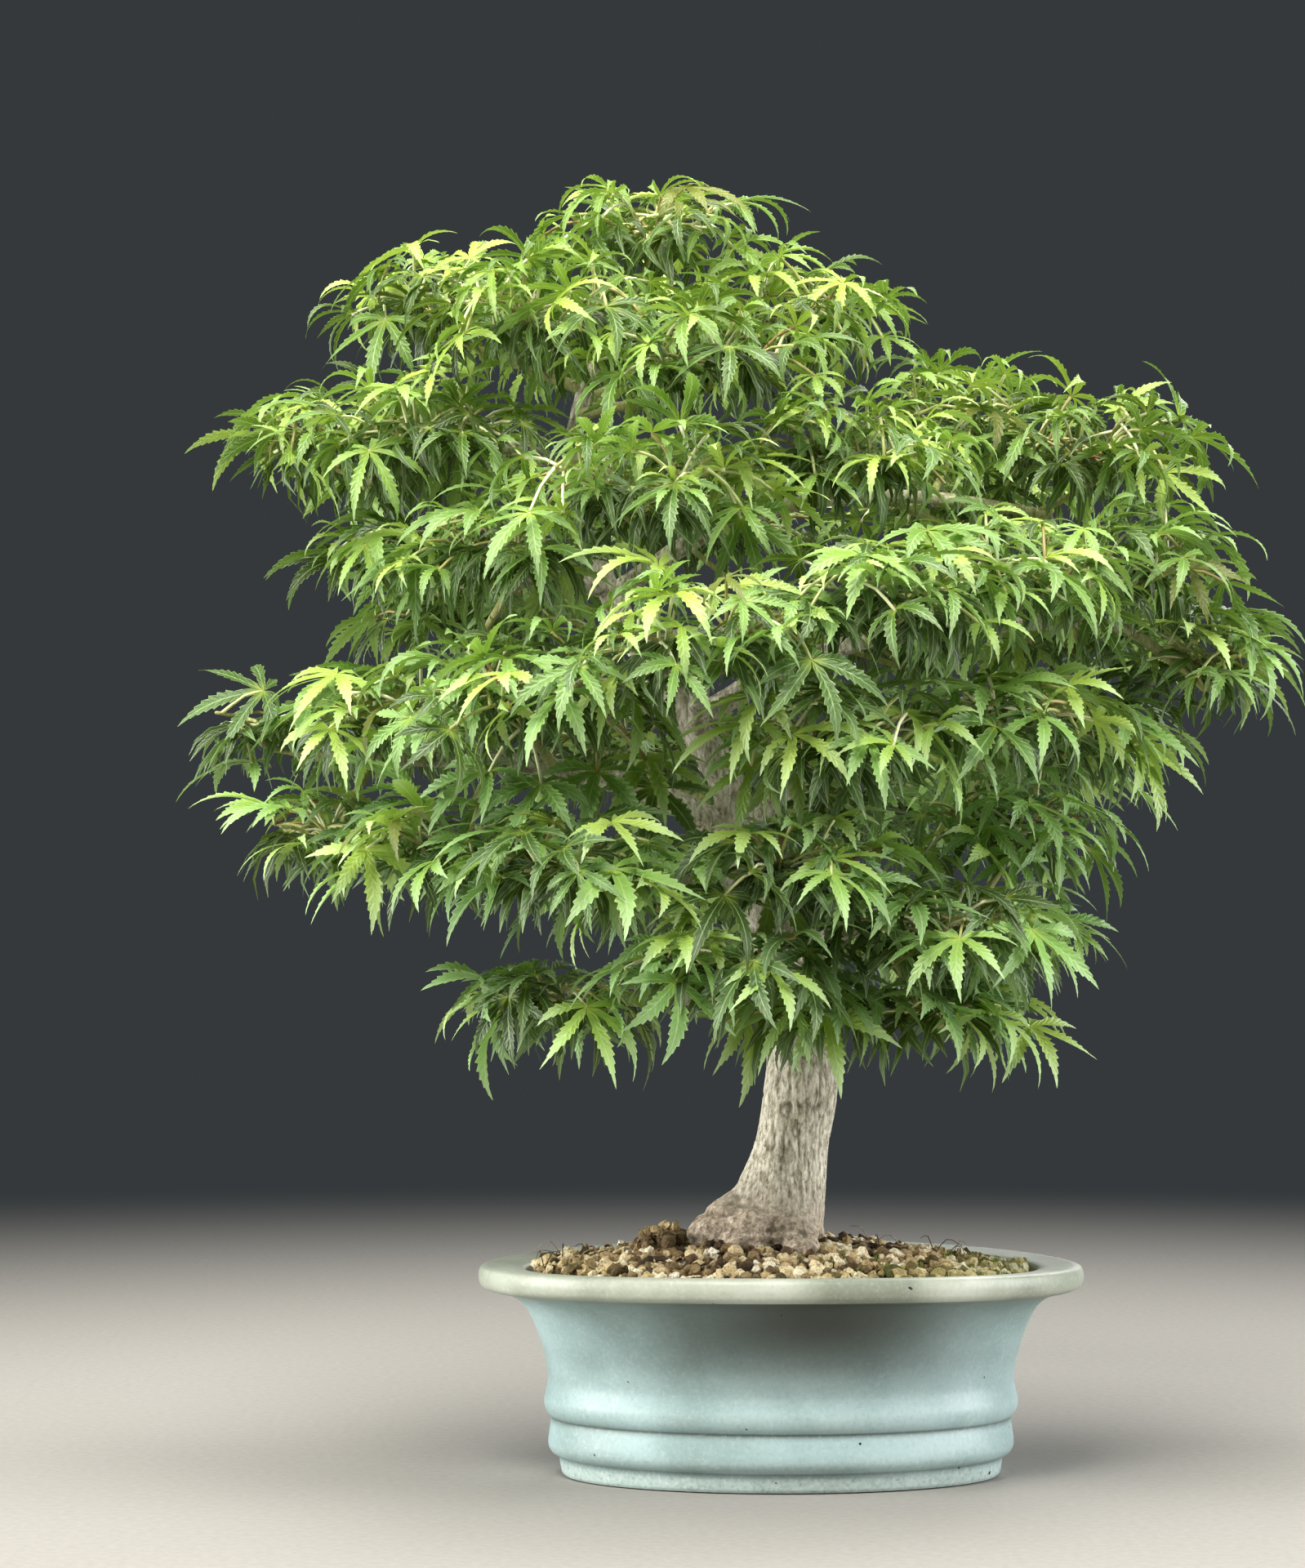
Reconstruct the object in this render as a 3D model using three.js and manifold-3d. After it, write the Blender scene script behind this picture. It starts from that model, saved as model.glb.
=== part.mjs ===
// A Sharp's Pygmy Japanese maple bonsai in an oval celadon pot, in millimetres, +Z up.
// The origin is on the surface that the pot stands on, below the middle of the whole tree.
// +X is the viewer's right and the tree's front faces -Y.
import * as THREE from "three";
import { mergeVertices } from "three/addons/utils/BufferGeometryUtils.js";
import Module from "manifold-3d";

const wasm = await Module();
wasm.setup();

// Driving dimensions. Places below are measured from the middle of the pot's foot.
const POT_AT = [19, 7.5]; // that middle, seen from the origin
const SAME_POINT = 0.001; // points nearer than this are one
const SLIVER = 0.02; // edges shorter than this are drawn together
const CLEARANCE = 0.3; // between pieces that touch

// Pot
const POT_SIDES = 32;
const POT_DEPTH_LESS = 25.2; // each half axis is this much shorter front to back
const FLOOR_TOP = 14.5;
const FLOOR_UNDER = 7;
const DRAIN_X = 30;
const DRAIN_RADIUS = 8;

// Screens over the drain holes, and the wires that pin them down
const SCREEN_SIDE = 25;
const SCREEN_THICK = 1;
const SCREEN_HOLE = 4.4;
const SCREEN_PITCH = 7;
const WIRE_WIDE = 1.2;
const WIRE_LEG_X = 6.6;
const WIRE_FOOT_X = 12;

// Soil
const SOIL_HALF = 84.2;
const SOIL_EDGE_Z = 69;
const SOIL_HEAP = 10.5; // how far it rises from its edge to the trunk
const TRUNK_X = -5.5; // where the heap is highest
const GRAIN_COUNT = 12;
const GRAIN_HALF = 2.8;

// Wood
const TRUNK_SIDES = 8;
const TRUNK_STEPS = 17;
const LIMB_SIDES = 5;
const TWIG_SIDES = 3;
const TWIG_TIP = 1.1;
const WOOD_FLAT = 0.1; // detail finer than this is left out

// Leaves: the middle lobe's length, then each lobe's angle from it and share of its length
const LEAF_LENGTH = 25;
const LOBES = [
  [-92, 0.56],
  [-45, 0.9],
  [0, 1],
  [45, 0.9],
  [92, 0.56],
];
const LOBE_DROOP = 34;
const NOTCHES = [-68, -22, 22, 68];
const NOTCH_REACH = 0.27;
const NOTCH_DROOP = 12;
const BLADE_BACK = 0.08; // how far the blade reaches behind its joint, as a share of its length
const CREST_UP = 0.7; // the blade's top over its joint
const NECK_DOWN = 0.8; // the stalk's thick end under the joint
const STALK_HALF = 0.9;
const STALK_SUNK = 0.6; // cubic millimetres of it inside the heart, at the least
const LEAF_SPACING = 9.9; // half length plus half width of a spray, for each of its leaves
const LEAF_TRIES = 9;
const HEART_SHARE = 0.52; // size of a spray's heart, as a share of its dome
const GOLDEN_TURN = 2.39996;

const COLOUR = {
  glaze: 0xa9c0bd,
  soil: 0x8e7a58,
  bark: 0xa59b84,
  leaf: 0x7f9f45,
  screen: 0x2c2f30,
  wire: 0x9a9c9e,
};

// The pot's outside from under its foot up to the lip, then its inside down to the floor:
// [half length of the oval, height]
const POT_PROFILE = [
  [64, FLOOR_UNDER],
  [66, 0],
  [73, 0],
  [74.4, 1.6],
  [75, 5],
  [78.4, 8.2],
  [78.4, 13.2],
  [77.2, 18.4],
  [79.8, 22.2],
  [79.4, 26.6],
  [78.8, 31],
  [80.5, 40],
  [84.4, 51.6],
  [88.2, 58.6],
  [99.2, 61.6],
  [102.2, 65.2],
  [101.6, 70.1],
  [87.2, 70.5],
  [85.4, 68],
  [74.4, 42],
  [72.4, 21],
  [68, FLOOR_TOP],
];
// The soil's side, from the floor up, just inside that wall
const SOIL_SIDE = [
  [67.2, FLOOR_TOP + CLEARANCE],
  [71.6, 21.2],
  [73.7, 42],
  [84.3, 67.2],
];

// The wood: each line is a row of [x, y, z, radius]
const ROOTS = [
  [[-3, 0, 100, 9], [-16, -2, 86, 10.5], [-27, -3, 77, 8.5], [-38, -5, 64, 6]],
  [[-2, -4, 92, 9], [-12, -14, 79, 7.5], [-21, -24, 66, 5]],
  [[2, -4, 92, 8], [6, -15, 79, 6.5], [10, -26, 66, 5]],
  [[4, 2, 90, 8], [12, 8, 78, 6.5], [22, 15, 65, 5]],
  [[-4, 4, 92, 9], [-9, 16, 79, 7], [-13, 29, 66, 5]],
];
const LIMBS = {
  trunk: [
    [-4, 0, 52, 21],
    [-5, 0, 70, 19.6],
    [-4.6, 0, 84, 16.8],
    [0.4, 0, 97, 14],
    [4, 0, 112, 12.2],
    [6.6, 0, 130, 12.3],
    [6.4, 1, 143, 11.4],
    [2.6, 2, 161, 9.8],
    [-3.4, 1, 181, 8.8],
    [-9, -1, 198, 8],
    [-13.6, -2, 217, 6.9],
    [-18.5, -2, 234, 6],
    [-30, -1, 253, 5.3],
    [-46, 2, 276, 4.7],
    [-56, 3, 294, 4.2],
    [-66, 2, 318, 3.6],
    [-70, 0, 342, 3.2],
    [-67, 0, 364, 2.7],
    [-57, 0, 386, 2.1],
    [-48, 0, 402, 1.6],
  ],
  lowest_left: [
    [4, 0, 152, 4],
    [-16, -18, 160, 3.4],
    [-44, -38, 162, 2.6],
    [-70, -54, 157, 1.8],
  ],
  lowest_right: [
    [0, 0, 170, 4.6],
    [22, -14, 184, 4],
    [48, -26, 192, 3],
    [70, -26, 190, 2],
  ],
  lowest_back: [
    [1, 2, 162, 4],
    [-2, 26, 170, 3.2],
    [0, 48, 172, 2.2],
  ],
  low_front: [
    [-8, 0, 196, 3.6],
    [-24, -36, 202, 3],
    [-42, -72, 200, 2.2],
    [-66, -86, 202, 1.7],
  ],
  low_left: [
    [-13, 0, 214, 4.6],
    [-44, -12, 230, 4],
    [-84, -22, 239, 3.2],
    [-126, -22, 241, 2.4],
    [-158, -10, 242, 1.7],
  ],
  low_right: [
    [-14, 0, 218, 4.4],
    [16, -3, 236, 3.6],
    [50, 2, 245, 2.9],
    [92, 6, 244, 1.9],
  ],
  low_back: [
    [-13, 0, 214, 4.2],
    [-12, 34, 222, 3.4],
    [-8, 70, 226, 2.4],
    [0, 92, 226, 1.8],
  ],
  mid_front: [
    [-28, 0, 250, 3.8],
    [-28, -38, 266, 3.1],
    [-24, -76, 272, 2.4],
    [-20, -100, 270, 1.8],
  ],
  mid_right: [
    [-30, 0, 254, 4.2],
    [2, -14, 272, 3.6],
    [38, -24, 283, 3],
    [78, -20, 286, 2.5],
    [112, -10, 286, 2],
    [136, -2, 272, 1.6],
  ],
  mid_back: [
    [-46, 2, 276, 3.8],
    [-34, 38, 284, 3.1],
    [-12, 70, 288, 2.4],
    [8, 88, 296, 1.8],
  ],
  mid_left: [
    [-58, 3, 299, 3.4],
    [-80, -14, 301, 2.8],
    [-100, -24, 299, 2.2],
    [-122, -14, 302, 1.7],
  ],
  high_right: [
    [-57, 3, 297, 3.6],
    [-26, -2, 317, 3],
    [10, -8, 328, 2.6],
    [50, 0, 330, 2.2],
    [92, 0, 324, 1.7],
  ],
  high_left: [
    [-70, 0, 337, 3],
    [-88, -2, 346, 2.6],
    [-112, -4, 344, 2.2],
    [-142, -1, 334, 1.7],
  ],
};

// The sprays, each a dome of leaves on a twig: [name, middle of the dome, its half length,
// half width and height, the limb that carries its twig, and how far along that limb]
const SPRAYS = [
  ["crown_top", [-44, -2, 418], [34, 32, 22], "trunk", 0.97],
  ["crown_left", [-116, 4, 392], [32, 32, 22], "trunk", 0.9],
  ["crown_right", [6, -4, 388], [32, 34, 23], "trunk", 0.91],
  ["crown_front_left", [-76, -46, 382], [39, 30, 24], "trunk", 0.93],
  ["crown_front_right", [-26, -58, 368], [36, 30, 24], "trunk", 0.88],
  ["crown_back", [-50, 54, 384], [40, 34, 26], "trunk", 0.89],
  ["high_left_tip", [-150, 0, 346], [32, 32, 22], "high_left", 0.98],
  ["high_left_front", [-116, -40, 345], [34, 28, 24], "high_left", 0.62],
  ["high_left_back", [-122, 50, 343], [38, 34, 26], "high_left", 0.55],
  ["high_front", [-49, -82, 322], [42, 32, 27], "trunk", 0.84],
  ["high_right_near", [20, -52, 336], [40, 34, 26], "high_right", 0.45],
  ["high_right_top", [60, 14, 354], [36, 32, 24], "high_right", 0.76],
  ["high_right_tip", [106, 0, 342], [32, 32, 24], "high_right", 0.97],
  ["high_right_back", [66, 68, 330], [40, 34, 25], "high_right", 0.66],
  ["high_back", [-28, 88, 326], [44, 36, 27], "mid_back", 0.9],
  ["mid_left_tip", [-126, -12, 310], [26, 26, 12], "mid_left", 0.92],
  ["mid_left_front", [-92, -56, 306], [34, 28, 22], "mid_left", 0.6],
  ["mid_left_back", [-104, 72, 292], [42, 36, 26], "mid_left", 0.5],
  ["mid_front", [-28, -114, 272], [42, 32, 27], "mid_front", 0.97],
  ["mid_right_front", [30, -100, 288], [37, 32, 26], "mid_right", 0.35],
  ["mid_right_middle", [72, -64, 295], [37, 32, 26], "mid_right", 0.56],
  ["mid_right_outer", [118, -10, 303], [32, 34, 25], "mid_right", 0.8],
  ["mid_right_tip", [144, 0, 272], [22, 30, 24], "mid_right", 0.98],
  ["mid_right_back", [108, 64, 286], [40, 34, 25], "mid_right", 0.72],
  ["mid_back_right", [48, 104, 284], [40, 32, 25], "mid_back", 0.8],
  ["low_left_tip", [-173, 0, 251], [33, 34, 21], "low_left", 0.98],
  ["low_left_front", [-131, -42, 252], [36, 30, 24], "low_left", 0.7],
  ["low_left_middle", [-84, -84, 256], [40, 32, 26], "low_left", 0.45],
  ["low_left_back", [-134, 52, 250], [38, 34, 23], "low_left", 0.64],
  ["low_middle", [14, -96, 244], [34, 30, 24], "low_right", 0.3],
  ["low_right_tip", [98, 8, 249], [32, 34, 21], "low_right", 0.97],
  ["low_right_front", [72, -66, 252], [33, 28, 18], "low_right", 0.62],
  ["low_right_back", [92, 66, 240], [38, 34, 23], "low_right", 0.7],
  ["low_back_left", [-50, 102, 242], [42, 36, 26], "low_back", 0.75],
  ["low_back_right", [28, 96, 226], [42, 36, 25], "low_back", 0.95],
  ["hanging_left_tip", [-152, -22, 214], [33, 28, 18], "low_left", 0.83],
  ["hanging_left_front", [-112, -60, 208], [33, 28, 20], "low_left", 0.57],
  ["hanging_middle", [-72, -92, 204], [33, 28, 22], "low_front", 0.97],
  ["lower_middle", [2, -86, 202], [34, 28, 22], "lowest_right", 0.3],
  ["lower_right_outer", [74, -26, 214], [32, 34, 24], "lowest_right", 0.9],
  ["lower_right_front", [44, -78, 182], [34, 28, 20], "lowest_right", 0.6],
  ["lower_right_side", [70, -18, 182], [30, 32, 17], "lowest_right", 0.97],
  ["lower_back_left", [-38, 64, 194], [36, 32, 22], "lowest_back", 0.6],
  ["lower_back_right", [30, 58, 180], [36, 32, 21], "lowest_back", 0.97],
  ["lowest_right", [50, -48, 157], [30, 28, 14], "lowest_right", 0.42],
  ["lowest_left", [-76, -60, 160], [30, 28, 14], "lowest_left", 0.97],
  ["lowest_front", [-24, -86, 172], [32, 26, 18], "lowest_left", 0.3],
  ["trunk_front", [6, -52, 158], [24, 22, 16], "trunk", 0.38],
].map(([name, middle, half, carrier, place], index) => ({
  name,
  middle: new THREE.Vector3(...middle),
  half: new THREE.Vector3(...half),
  carrier,
  place,
  index,
}));

const UP = new THREE.Vector3(0, 0, 1);
const vector = (x, y, z) => new THREE.Vector3(x, y, z);
const radians = THREE.MathUtils.degToRad;

// A seeded draw from 0 to 1, the same on every run
function seeded(seed) {
  let state = seed >>> 0;
  return () => {
    state = (Math.imul(state, 1664525) + 1013904223) >>> 0;
    return state / 2 ** 32;
  };
}

// A closed mesh becomes a solid that can be joined and cut
function solidOf(geometry) {
  const bare = geometry.clone();
  bare.deleteAttribute("normal");
  bare.deleteAttribute("uv");
  const merged = mergeVertices(bare, SAME_POINT);
  return new wasm.Manifold(
    new wasm.Mesh({
      numProp: 3,
      vertProperties: merged.attributes.position.array,
      triVerts: new Uint32Array(merged.index.array),
    }),
  );
}

function geometryOf(solid) {
  const data = solid.getMesh();
  const geometry = new THREE.BufferGeometry();
  geometry.setAttribute("position", new THREE.BufferAttribute(data.vertProperties, 3));
  geometry.setIndex(new THREE.BufferAttribute(data.triVerts, 1));
  return geometry;
}

const largestOf = (solid) =>
  solid.decompose().reduce((a, b) => (a.volume() > b.volume() ? a : b));

// Once near points are one, the largest body is kept, without scraps or sealed hollows
function meshOf(name, solid, material) {
  const moved = geometryOf(solid).translate(POT_AT[0], POT_AT[1], 0);
  const geometry = geometryOf(largestOf(solidOf(moved).simplify(SLIVER)));
  geometry.computeVertexNormals();
  const mesh = new THREE.Mesh(geometry, material);
  mesh.name = name;
  return mesh;
}

// A skin over rings of equally many points, closed by a fan at each end
function loft(rings) {
  const sides = rings[0].length;
  const points = rings.flat();
  const faces = [];
  for (let r = 0; r + 1 < rings.length; r++) {
    for (let s = 0; s < sides; s++) {
      const a = r * sides + s;
      const b = r * sides + ((s + 1) % sides);
      faces.push(a, b, b + sides, a, b + sides, a + sides);
    }
  }
  const middle = (ring) =>
    ring.reduce((sum, p) => sum.add(p), vector(0, 0, 0)).divideScalar(sides);
  const first = points.push(middle(rings[0])) - 1;
  const last = points.push(middle(rings[rings.length - 1])) - 1;
  const top = (rings.length - 1) * sides;
  for (let s = 0; s < sides; s++) {
    const next = (s + 1) % sides;
    faces.push(first, next, s, last, top + s, top + next);
  }
  const geometry = new THREE.BufferGeometry().setFromPoints(points);
  geometry.setIndex(faces);
  return solidOf(geometry);
}

function block(x, y, z, width, depth, tall) {
  return solidOf(new THREE.BoxGeometry(width, depth, tall).translate(x, y, z));
}

// One level oval; height may follow the place on it
function ovalRing(halfLength, halfDepth, heightAt) {
  return Array.from({ length: POT_SIDES }, (_, i) => {
    const turn = (2 * Math.PI * i) / POT_SIDES;
    const x = halfLength * Math.cos(turn);
    const y = halfDepth * Math.sin(turn);
    return vector(x, y, heightAt(x, y));
  });
}
const wallRing = ([half, z]) => ovalRing(half, half - POT_DEPTH_LESS, () => z);

// The place, direction and radius at a share of the way along a limb
function along(line, share) {
  const curve = new THREE.CatmullRomCurve3(
    line.map(([x, y, z]) => vector(x, y, z)),
    false,
    "catmullrom",
  );
  const step = share * (line.length - 1);
  const i = Math.min(Math.floor(step), line.length - 2);
  return {
    point: curve.getPoint(share),
    direction: curve.getTangent(share),
    radius: THREE.MathUtils.lerp(line[i][3], line[i + 1][3], step - i),
  };
}

// A round limb that thins along its line; extra makes the cutter for the hole it sits in
function limb(line, sides, steps, extra) {
  let across = vector(0, 1, 0);
  const rings = [];
  for (let i = 0; i <= steps; i++) {
    const { point, direction, radius } = along(line, i / steps);
    across = across.clone().addScaledVector(direction, -across.dot(direction)).normalize();
    const other = direction.clone().cross(across);
    const longer = i === 0 ? -extra : i === steps ? extra : 0;
    const ring = [];
    for (let s = 0; s < sides; s++) {
      const turn = (2 * Math.PI * s) / sides;
      ring.push(
        point
          .clone()
          .addScaledVector(direction, longer)
          .addScaledVector(across, (radius + extra) * Math.cos(turn))
          .addScaledVector(other, (radius + extra) * Math.sin(turn)),
      );
    }
    rings.push(ring);
  }
  return loft(rings);
}

// The twig that carries a spray runs from its limb into the lower part of the dome
function twigLine({ middle, half, carrier, place }) {
  const { point, radius } = along(LIMBS[carrier], place);
  const thick = THREE.MathUtils.clamp(0.8 * radius, 1.5, 2.2);
  return [
    [...point, thick],
    [middle.x, middle.y, middle.z - 0.3 * half.z, TWIG_TIP],
  ];
}

// Everything woody, the roots and trunk first
function woodPieces(extra) {
  const { trunk, ...branches } = LIMBS;
  return [
    limb(trunk, TRUNK_SIDES, TRUNK_STEPS, extra),
    ...ROOTS.map((line) => limb(line, LIMB_SIDES, 3, extra)),
    ...Object.values(branches).map((line) => limb(line, LIMB_SIDES, line.length - 1, extra)),
    ...SPRAYS.map((spray) => limb(twigLine(spray), TWIG_SIDES, 1, extra)),
  ];
}

// The lumpy heart of a spray, smaller than its dome of leaves; extra swells it
function heartOf({ middle, half, index }, share, extra) {
  const draw = seeded(500 + index);
  const ball = new THREE.IcosahedronGeometry(1, 0);
  ball.deleteAttribute("normal").deleteAttribute("uv");
  const geometry = mergeVertices(ball, SAME_POINT);
  const place = geometry.attributes.position;
  for (let i = 0; i < place.count; i++) {
    const point = new THREE.Vector3().fromBufferAttribute(place, i).multiply(half);
    point.z *= point.z < 0 ? 0.7 : 1;
    point.multiplyScalar(share * (0.88 + 0.24 * draw()));
    point.setLength(point.length() + extra).add(middle);
    place.setXYZ(i, ...point);
  }
  return solidOf(geometry);
}

// Where the leaves of a spray stand: on its dome, each turned outwards and dipping
function leafPlaces({ middle, half, index }) {
  const draw = seeded(100 + index);
  const turnStart = draw() * 2 * Math.PI;
  const count = Math.round((half.x + half.y) / LEAF_SPACING);
  return Array.from({ length: count }, (_, i) => {
    const level = 0.97 - 1.22 * ((i + 0.5) / count);
    const turn = turnStart + i * GOLDEN_TURN + 0.5 * (draw() - 0.5);
    const flat = Math.sqrt(1 - level * level);
    const dome = vector(flat * Math.cos(turn), flat * Math.sin(turn), level);
    const joint = dome
      .clone()
      .multiply(half)
      .multiplyScalar(0.8 + 0.22 * draw())
      .add(middle);
    const fromTrunk = vector(joint.x + 20, joint.y, 0).setLength(0.7);
    const outward = vector(0.9 * dome.x, 0.9 * dome.y, 0).add(fromTrunk).normalize();
    outward.applyAxisAngle(UP, radians(70 * (draw() - 0.5)));
    const dip = radians(12 + 22 * (1 - level) + 22 * (draw() - 0.5));
    const forward = outward.clone().multiplyScalar(Math.cos(dip));
    forward.z = -Math.sin(dip);
    const up = outward.clone().multiplyScalar(Math.sin(dip));
    up.z = Math.cos(dip);
    up.applyAxisAngle(forward, radians(30 * (draw() - 0.5)));
    return { joint, forward, up, length: LEAF_LENGTH * (0.84 + 0.32 * draw()) };
  });
}

// One leaf: pointed lobes that droop round the joint, over a three-sided stalk that starts
// below the joint and runs to a point in the heart
function leafOf({ joint, forward, up, length }, foot) {
  const side = up.clone().cross(forward);
  const reachOut = (angle, reach, droop) => {
    const turn = radians(angle);
    const level = reach * Math.cos(radians(droop));
    return joint
      .clone()
      .addScaledVector(forward, level * Math.cos(turn))
      .addScaledVector(side, level * Math.sin(turn))
      .addScaledVector(up, -reach * Math.sin(radians(droop)));
  };
  const points = [];
  LOBES.forEach(([angle, share], i) => {
    points.push(reachOut(angle, share * length, LOBE_DROOP));
    if (i < NOTCHES.length) {
      points.push(reachOut(NOTCHES[i], NOTCH_REACH * length, NOTCH_DROOP));
    }
  });
  const lastLobe = points.length - 1;
  const back = points.push(reachOut(180, BLADE_BACK * length, 0)) - 1;
  const crest = points.push(joint.clone().addScaledVector(up, CREST_UP)) - 1;
  const stalk = joint.clone().sub(foot).normalize();
  const above = up.clone().addScaledVector(forward, -0.6);
  above.addScaledVector(stalk, -above.dot(stalk)).normalize();
  const across = above.clone().cross(stalk);
  const neck = joint.clone().addScaledVector(up, -NECK_DOWN).addScaledVector(stalk, -NECK_DOWN);
  const corner = (upward, sideways) =>
    points.push(
      neck
        .clone()
        .addScaledVector(above, upward * STALK_HALF)
        .addScaledVector(across, sideways * STALK_HALF),
    ) - 1;
  const rear = corner(1, 0);
  const left = corner(-0.5, 0.87);
  const right = corner(-0.5, -0.87);
  const end = points.push(foot) - 1;
  const middle = lastLobe / 2;
  const faces = [[left, middle, right], [left, rear, lastLobe], [right, 0, rear]];
  for (let i = 0; i <= back; i++) {
    const next = (i + 1) % (back + 1);
    const below = i >= lastLobe ? rear : i < middle ? right : left;
    faces.push([crest, i, next], [below, next, i]);
  }
  faces.push([left, right, end], [rear, left, end], [right, rear, end]);
  const geometry = new THREE.BufferGeometry().setFromPoints(points);
  geometry.setIndex(faces.flat());
  return solidOf(geometry);
}

// A leaf that meets something is turned, moved and shortened a little more at each try
function turnAside(place, foot, attempt, draw) {
  const turn = radians(24 * attempt * (draw() - 0.5));
  return {
    joint: place.joint
      .clone()
      .lerp(foot, 0.04 * attempt * (draw() - 0.4))
      .addScaledVector(UP, 6 * (draw() - 0.3)),
    forward: place.forward.clone().applyAxisAngle(UP, turn),
    up: place.up.clone().applyAxisAngle(UP, turn),
    length: place.length * (1 - 0.03 * attempt),
  };
}

// Solids with their boxes, so that only near ones are compared
function boxed(solid) {
  const { min, max } = solid.boundingBox();
  const box = new THREE.Box3(vector(...min), vector(...max)).expandByScalar(CLEARANCE);
  return { solid, box };
}
const tooNear = (a, b) =>
  a.box.intersectsBox(b.box) && a.solid.minGap(b.solid, 2 * CLEARANCE) < CLEARANCE + 0.1;
const meets = (a, b) => a.box.intersectsBox(b.box) && !a.solid.intersect(b.solid).isEmpty();

const tree = new THREE.Group();
tree.name = "maple_bonsai";
const material = (color, roughness, metalness = 0) =>
  new THREE.MeshStandardMaterial({ color, roughness, metalness });

// Pot, with drain holes through its floor
let pot = loft(POT_PROFILE.map(wallRing));
for (const x of [-DRAIN_X, DRAIN_X]) {
  const drill = new THREE.CylinderGeometry(DRAIN_RADIUS, DRAIN_RADIUS, 4 * FLOOR_TOP, 12);
  pot = pot.subtract(solidOf(drill.rotateX(Math.PI / 2).translate(x, 0, 0)));
}
tree.add(meshOf("pot", pot, material(COLOUR.glaze, 0.25)));

// Screens and wires, and the room that they take in the soil
const screenZ = FLOOR_TOP + CLEARANCE + SCREEN_THICK / 2;
const wireTopZ = screenZ + SCREEN_THICK / 2 + CLEARANCE + WIRE_WIDE / 2;
const wireLowZ = FLOOR_UNDER - CLEARANCE - WIRE_WIDE / 2;
const pockets = [];
for (const [label, x] of [["left", -DRAIN_X], ["right", DRAIN_X]]) {
  let screen = block(x, 0, screenZ, SCREEN_SIDE, SCREEN_SIDE, SCREEN_THICK);
  for (const i of [-1, 0, 1]) {
    for (const j of [-1, 0, 1]) {
      const holeX = x + i * SCREEN_PITCH;
      const holeY = j * SCREEN_PITCH;
      screen = screen.subtract(
        block(holeX, holeY, screenZ, SCREEN_HOLE, SCREEN_HOLE, 2 * SCREEN_THICK),
      );
    }
  }
  tree.add(meshOf("drain_screen_" + label, screen, material(COLOUR.screen, 0.6)));
  let wire = block(x, 0, wireTopZ, 2 * WIRE_LEG_X, WIRE_WIDE, WIRE_WIDE);
  for (const way of [-1, 1]) {
    const legX = x + way * (WIRE_LEG_X - WIRE_WIDE / 2);
    const footX = x + (way * (WIRE_LEG_X - WIRE_WIDE + WIRE_FOOT_X)) / 2;
    const legTall = wireTopZ - wireLowZ + WIRE_WIDE;
    const footLong = WIRE_FOOT_X - WIRE_LEG_X + WIRE_WIDE;
    wire = wire
      .add(block(legX, 0, (wireTopZ + wireLowZ) / 2, WIRE_WIDE, WIRE_WIDE, legTall))
      .add(block(footX, 0, wireLowZ, footLong, WIRE_WIDE, WIRE_WIDE));
  }
  tree.add(meshOf("screen_wire_" + label, wire, material(COLOUR.wire, 0.4, 1)));
  const wider = 2 * CLEARANCE;
  pockets.push(
    block(x, 0, screenZ, SCREEN_SIDE + wider, SCREEN_SIDE + wider, SCREEN_THICK + wider),
    block(x, 0, wireTopZ, 2 * WIRE_LEG_X + wider, WIRE_WIDE + wider, WIRE_WIDE + wider),
  );
}

// Soil, heaped to the trunk, with coarse grains standing out of it and a hole for the roots
function soilTop(x, y) {
  const out = Math.hypot((x - TRUNK_X) / SOIL_HALF, y / (SOIL_HALF - POT_DEPTH_LESS));
  const ripple = 0.7 * Math.sin(0.9 * x) * Math.cos(1.1 * y);
  return SOIL_EDGE_Z + SOIL_HEAP * (1 - Math.min(1, out) ** 1.3) + ripple;
}
const soilRings = SOIL_SIDE.map(wallRing);
for (const share of [1, 0.78, 0.48]) {
  const ring = ovalRing(share * SOIL_HALF, share * (SOIL_HALF - POT_DEPTH_LESS), soilTop);
  soilRings.push(ring);
}
let soil = loft(soilRings);
const grainDraw = seeded(71);
for (let i = 0; i < GRAIN_COUNT; i++) {
  const reach = 0.45 + 0.5 * Math.sqrt((i + 0.5) / GRAIN_COUNT);
  const x = reach * (SOIL_HALF - 4) * Math.cos(i * GOLDEN_TURN);
  const y = reach * (SOIL_HALF - 4 - POT_DEPTH_LESS) * Math.sin(i * GOLDEN_TURN);
  const grain = new THREE.OctahedronGeometry(GRAIN_HALF * (0.8 + 0.4 * grainDraw()));
  grain.rotateX(3 * grainDraw()).rotateZ(3 * grainDraw());
  soil = soil.add(solidOf(grain.translate(x, y, soilTop(x, y))));
}
const holes = woodPieces(CLEARANCE);
for (const hole of [...holes.slice(0, 1 + ROOTS.length), ...pockets]) {
  soil = soil.subtract(hole);
}
tree.add(meshOf("soil", soil.simplify(WOOD_FLAT / 2), material(COLOUR.soil, 0.95)));

// The hearts of the sprays, then the wood, whose twigs end just short of them
const hearts = [];
for (const spray of SPRAYS) {
  let share = HEART_SHARE;
  let heart = boxed(heartOf(spray, share, 0));
  while (hearts.some((other) => tooNear(heart, other))) {
    share -= 0.04;
    heart = boxed(heartOf(spray, share, 0));
  }
  hearts.push({ ...heart, share });
}
const swollen = SPRAYS.map((spray, i) => heartOf(spray, hearts[i].share, 1.5 * CLEARANCE));
const wood = wasm.Manifold.union(woodPieces(0)).subtract(wasm.Manifold.union(swollen));
tree.add(meshOf("trunk_and_branches", wood.simplify(WOOD_FLAT), material(COLOUR.bark, 0.85)));

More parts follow.
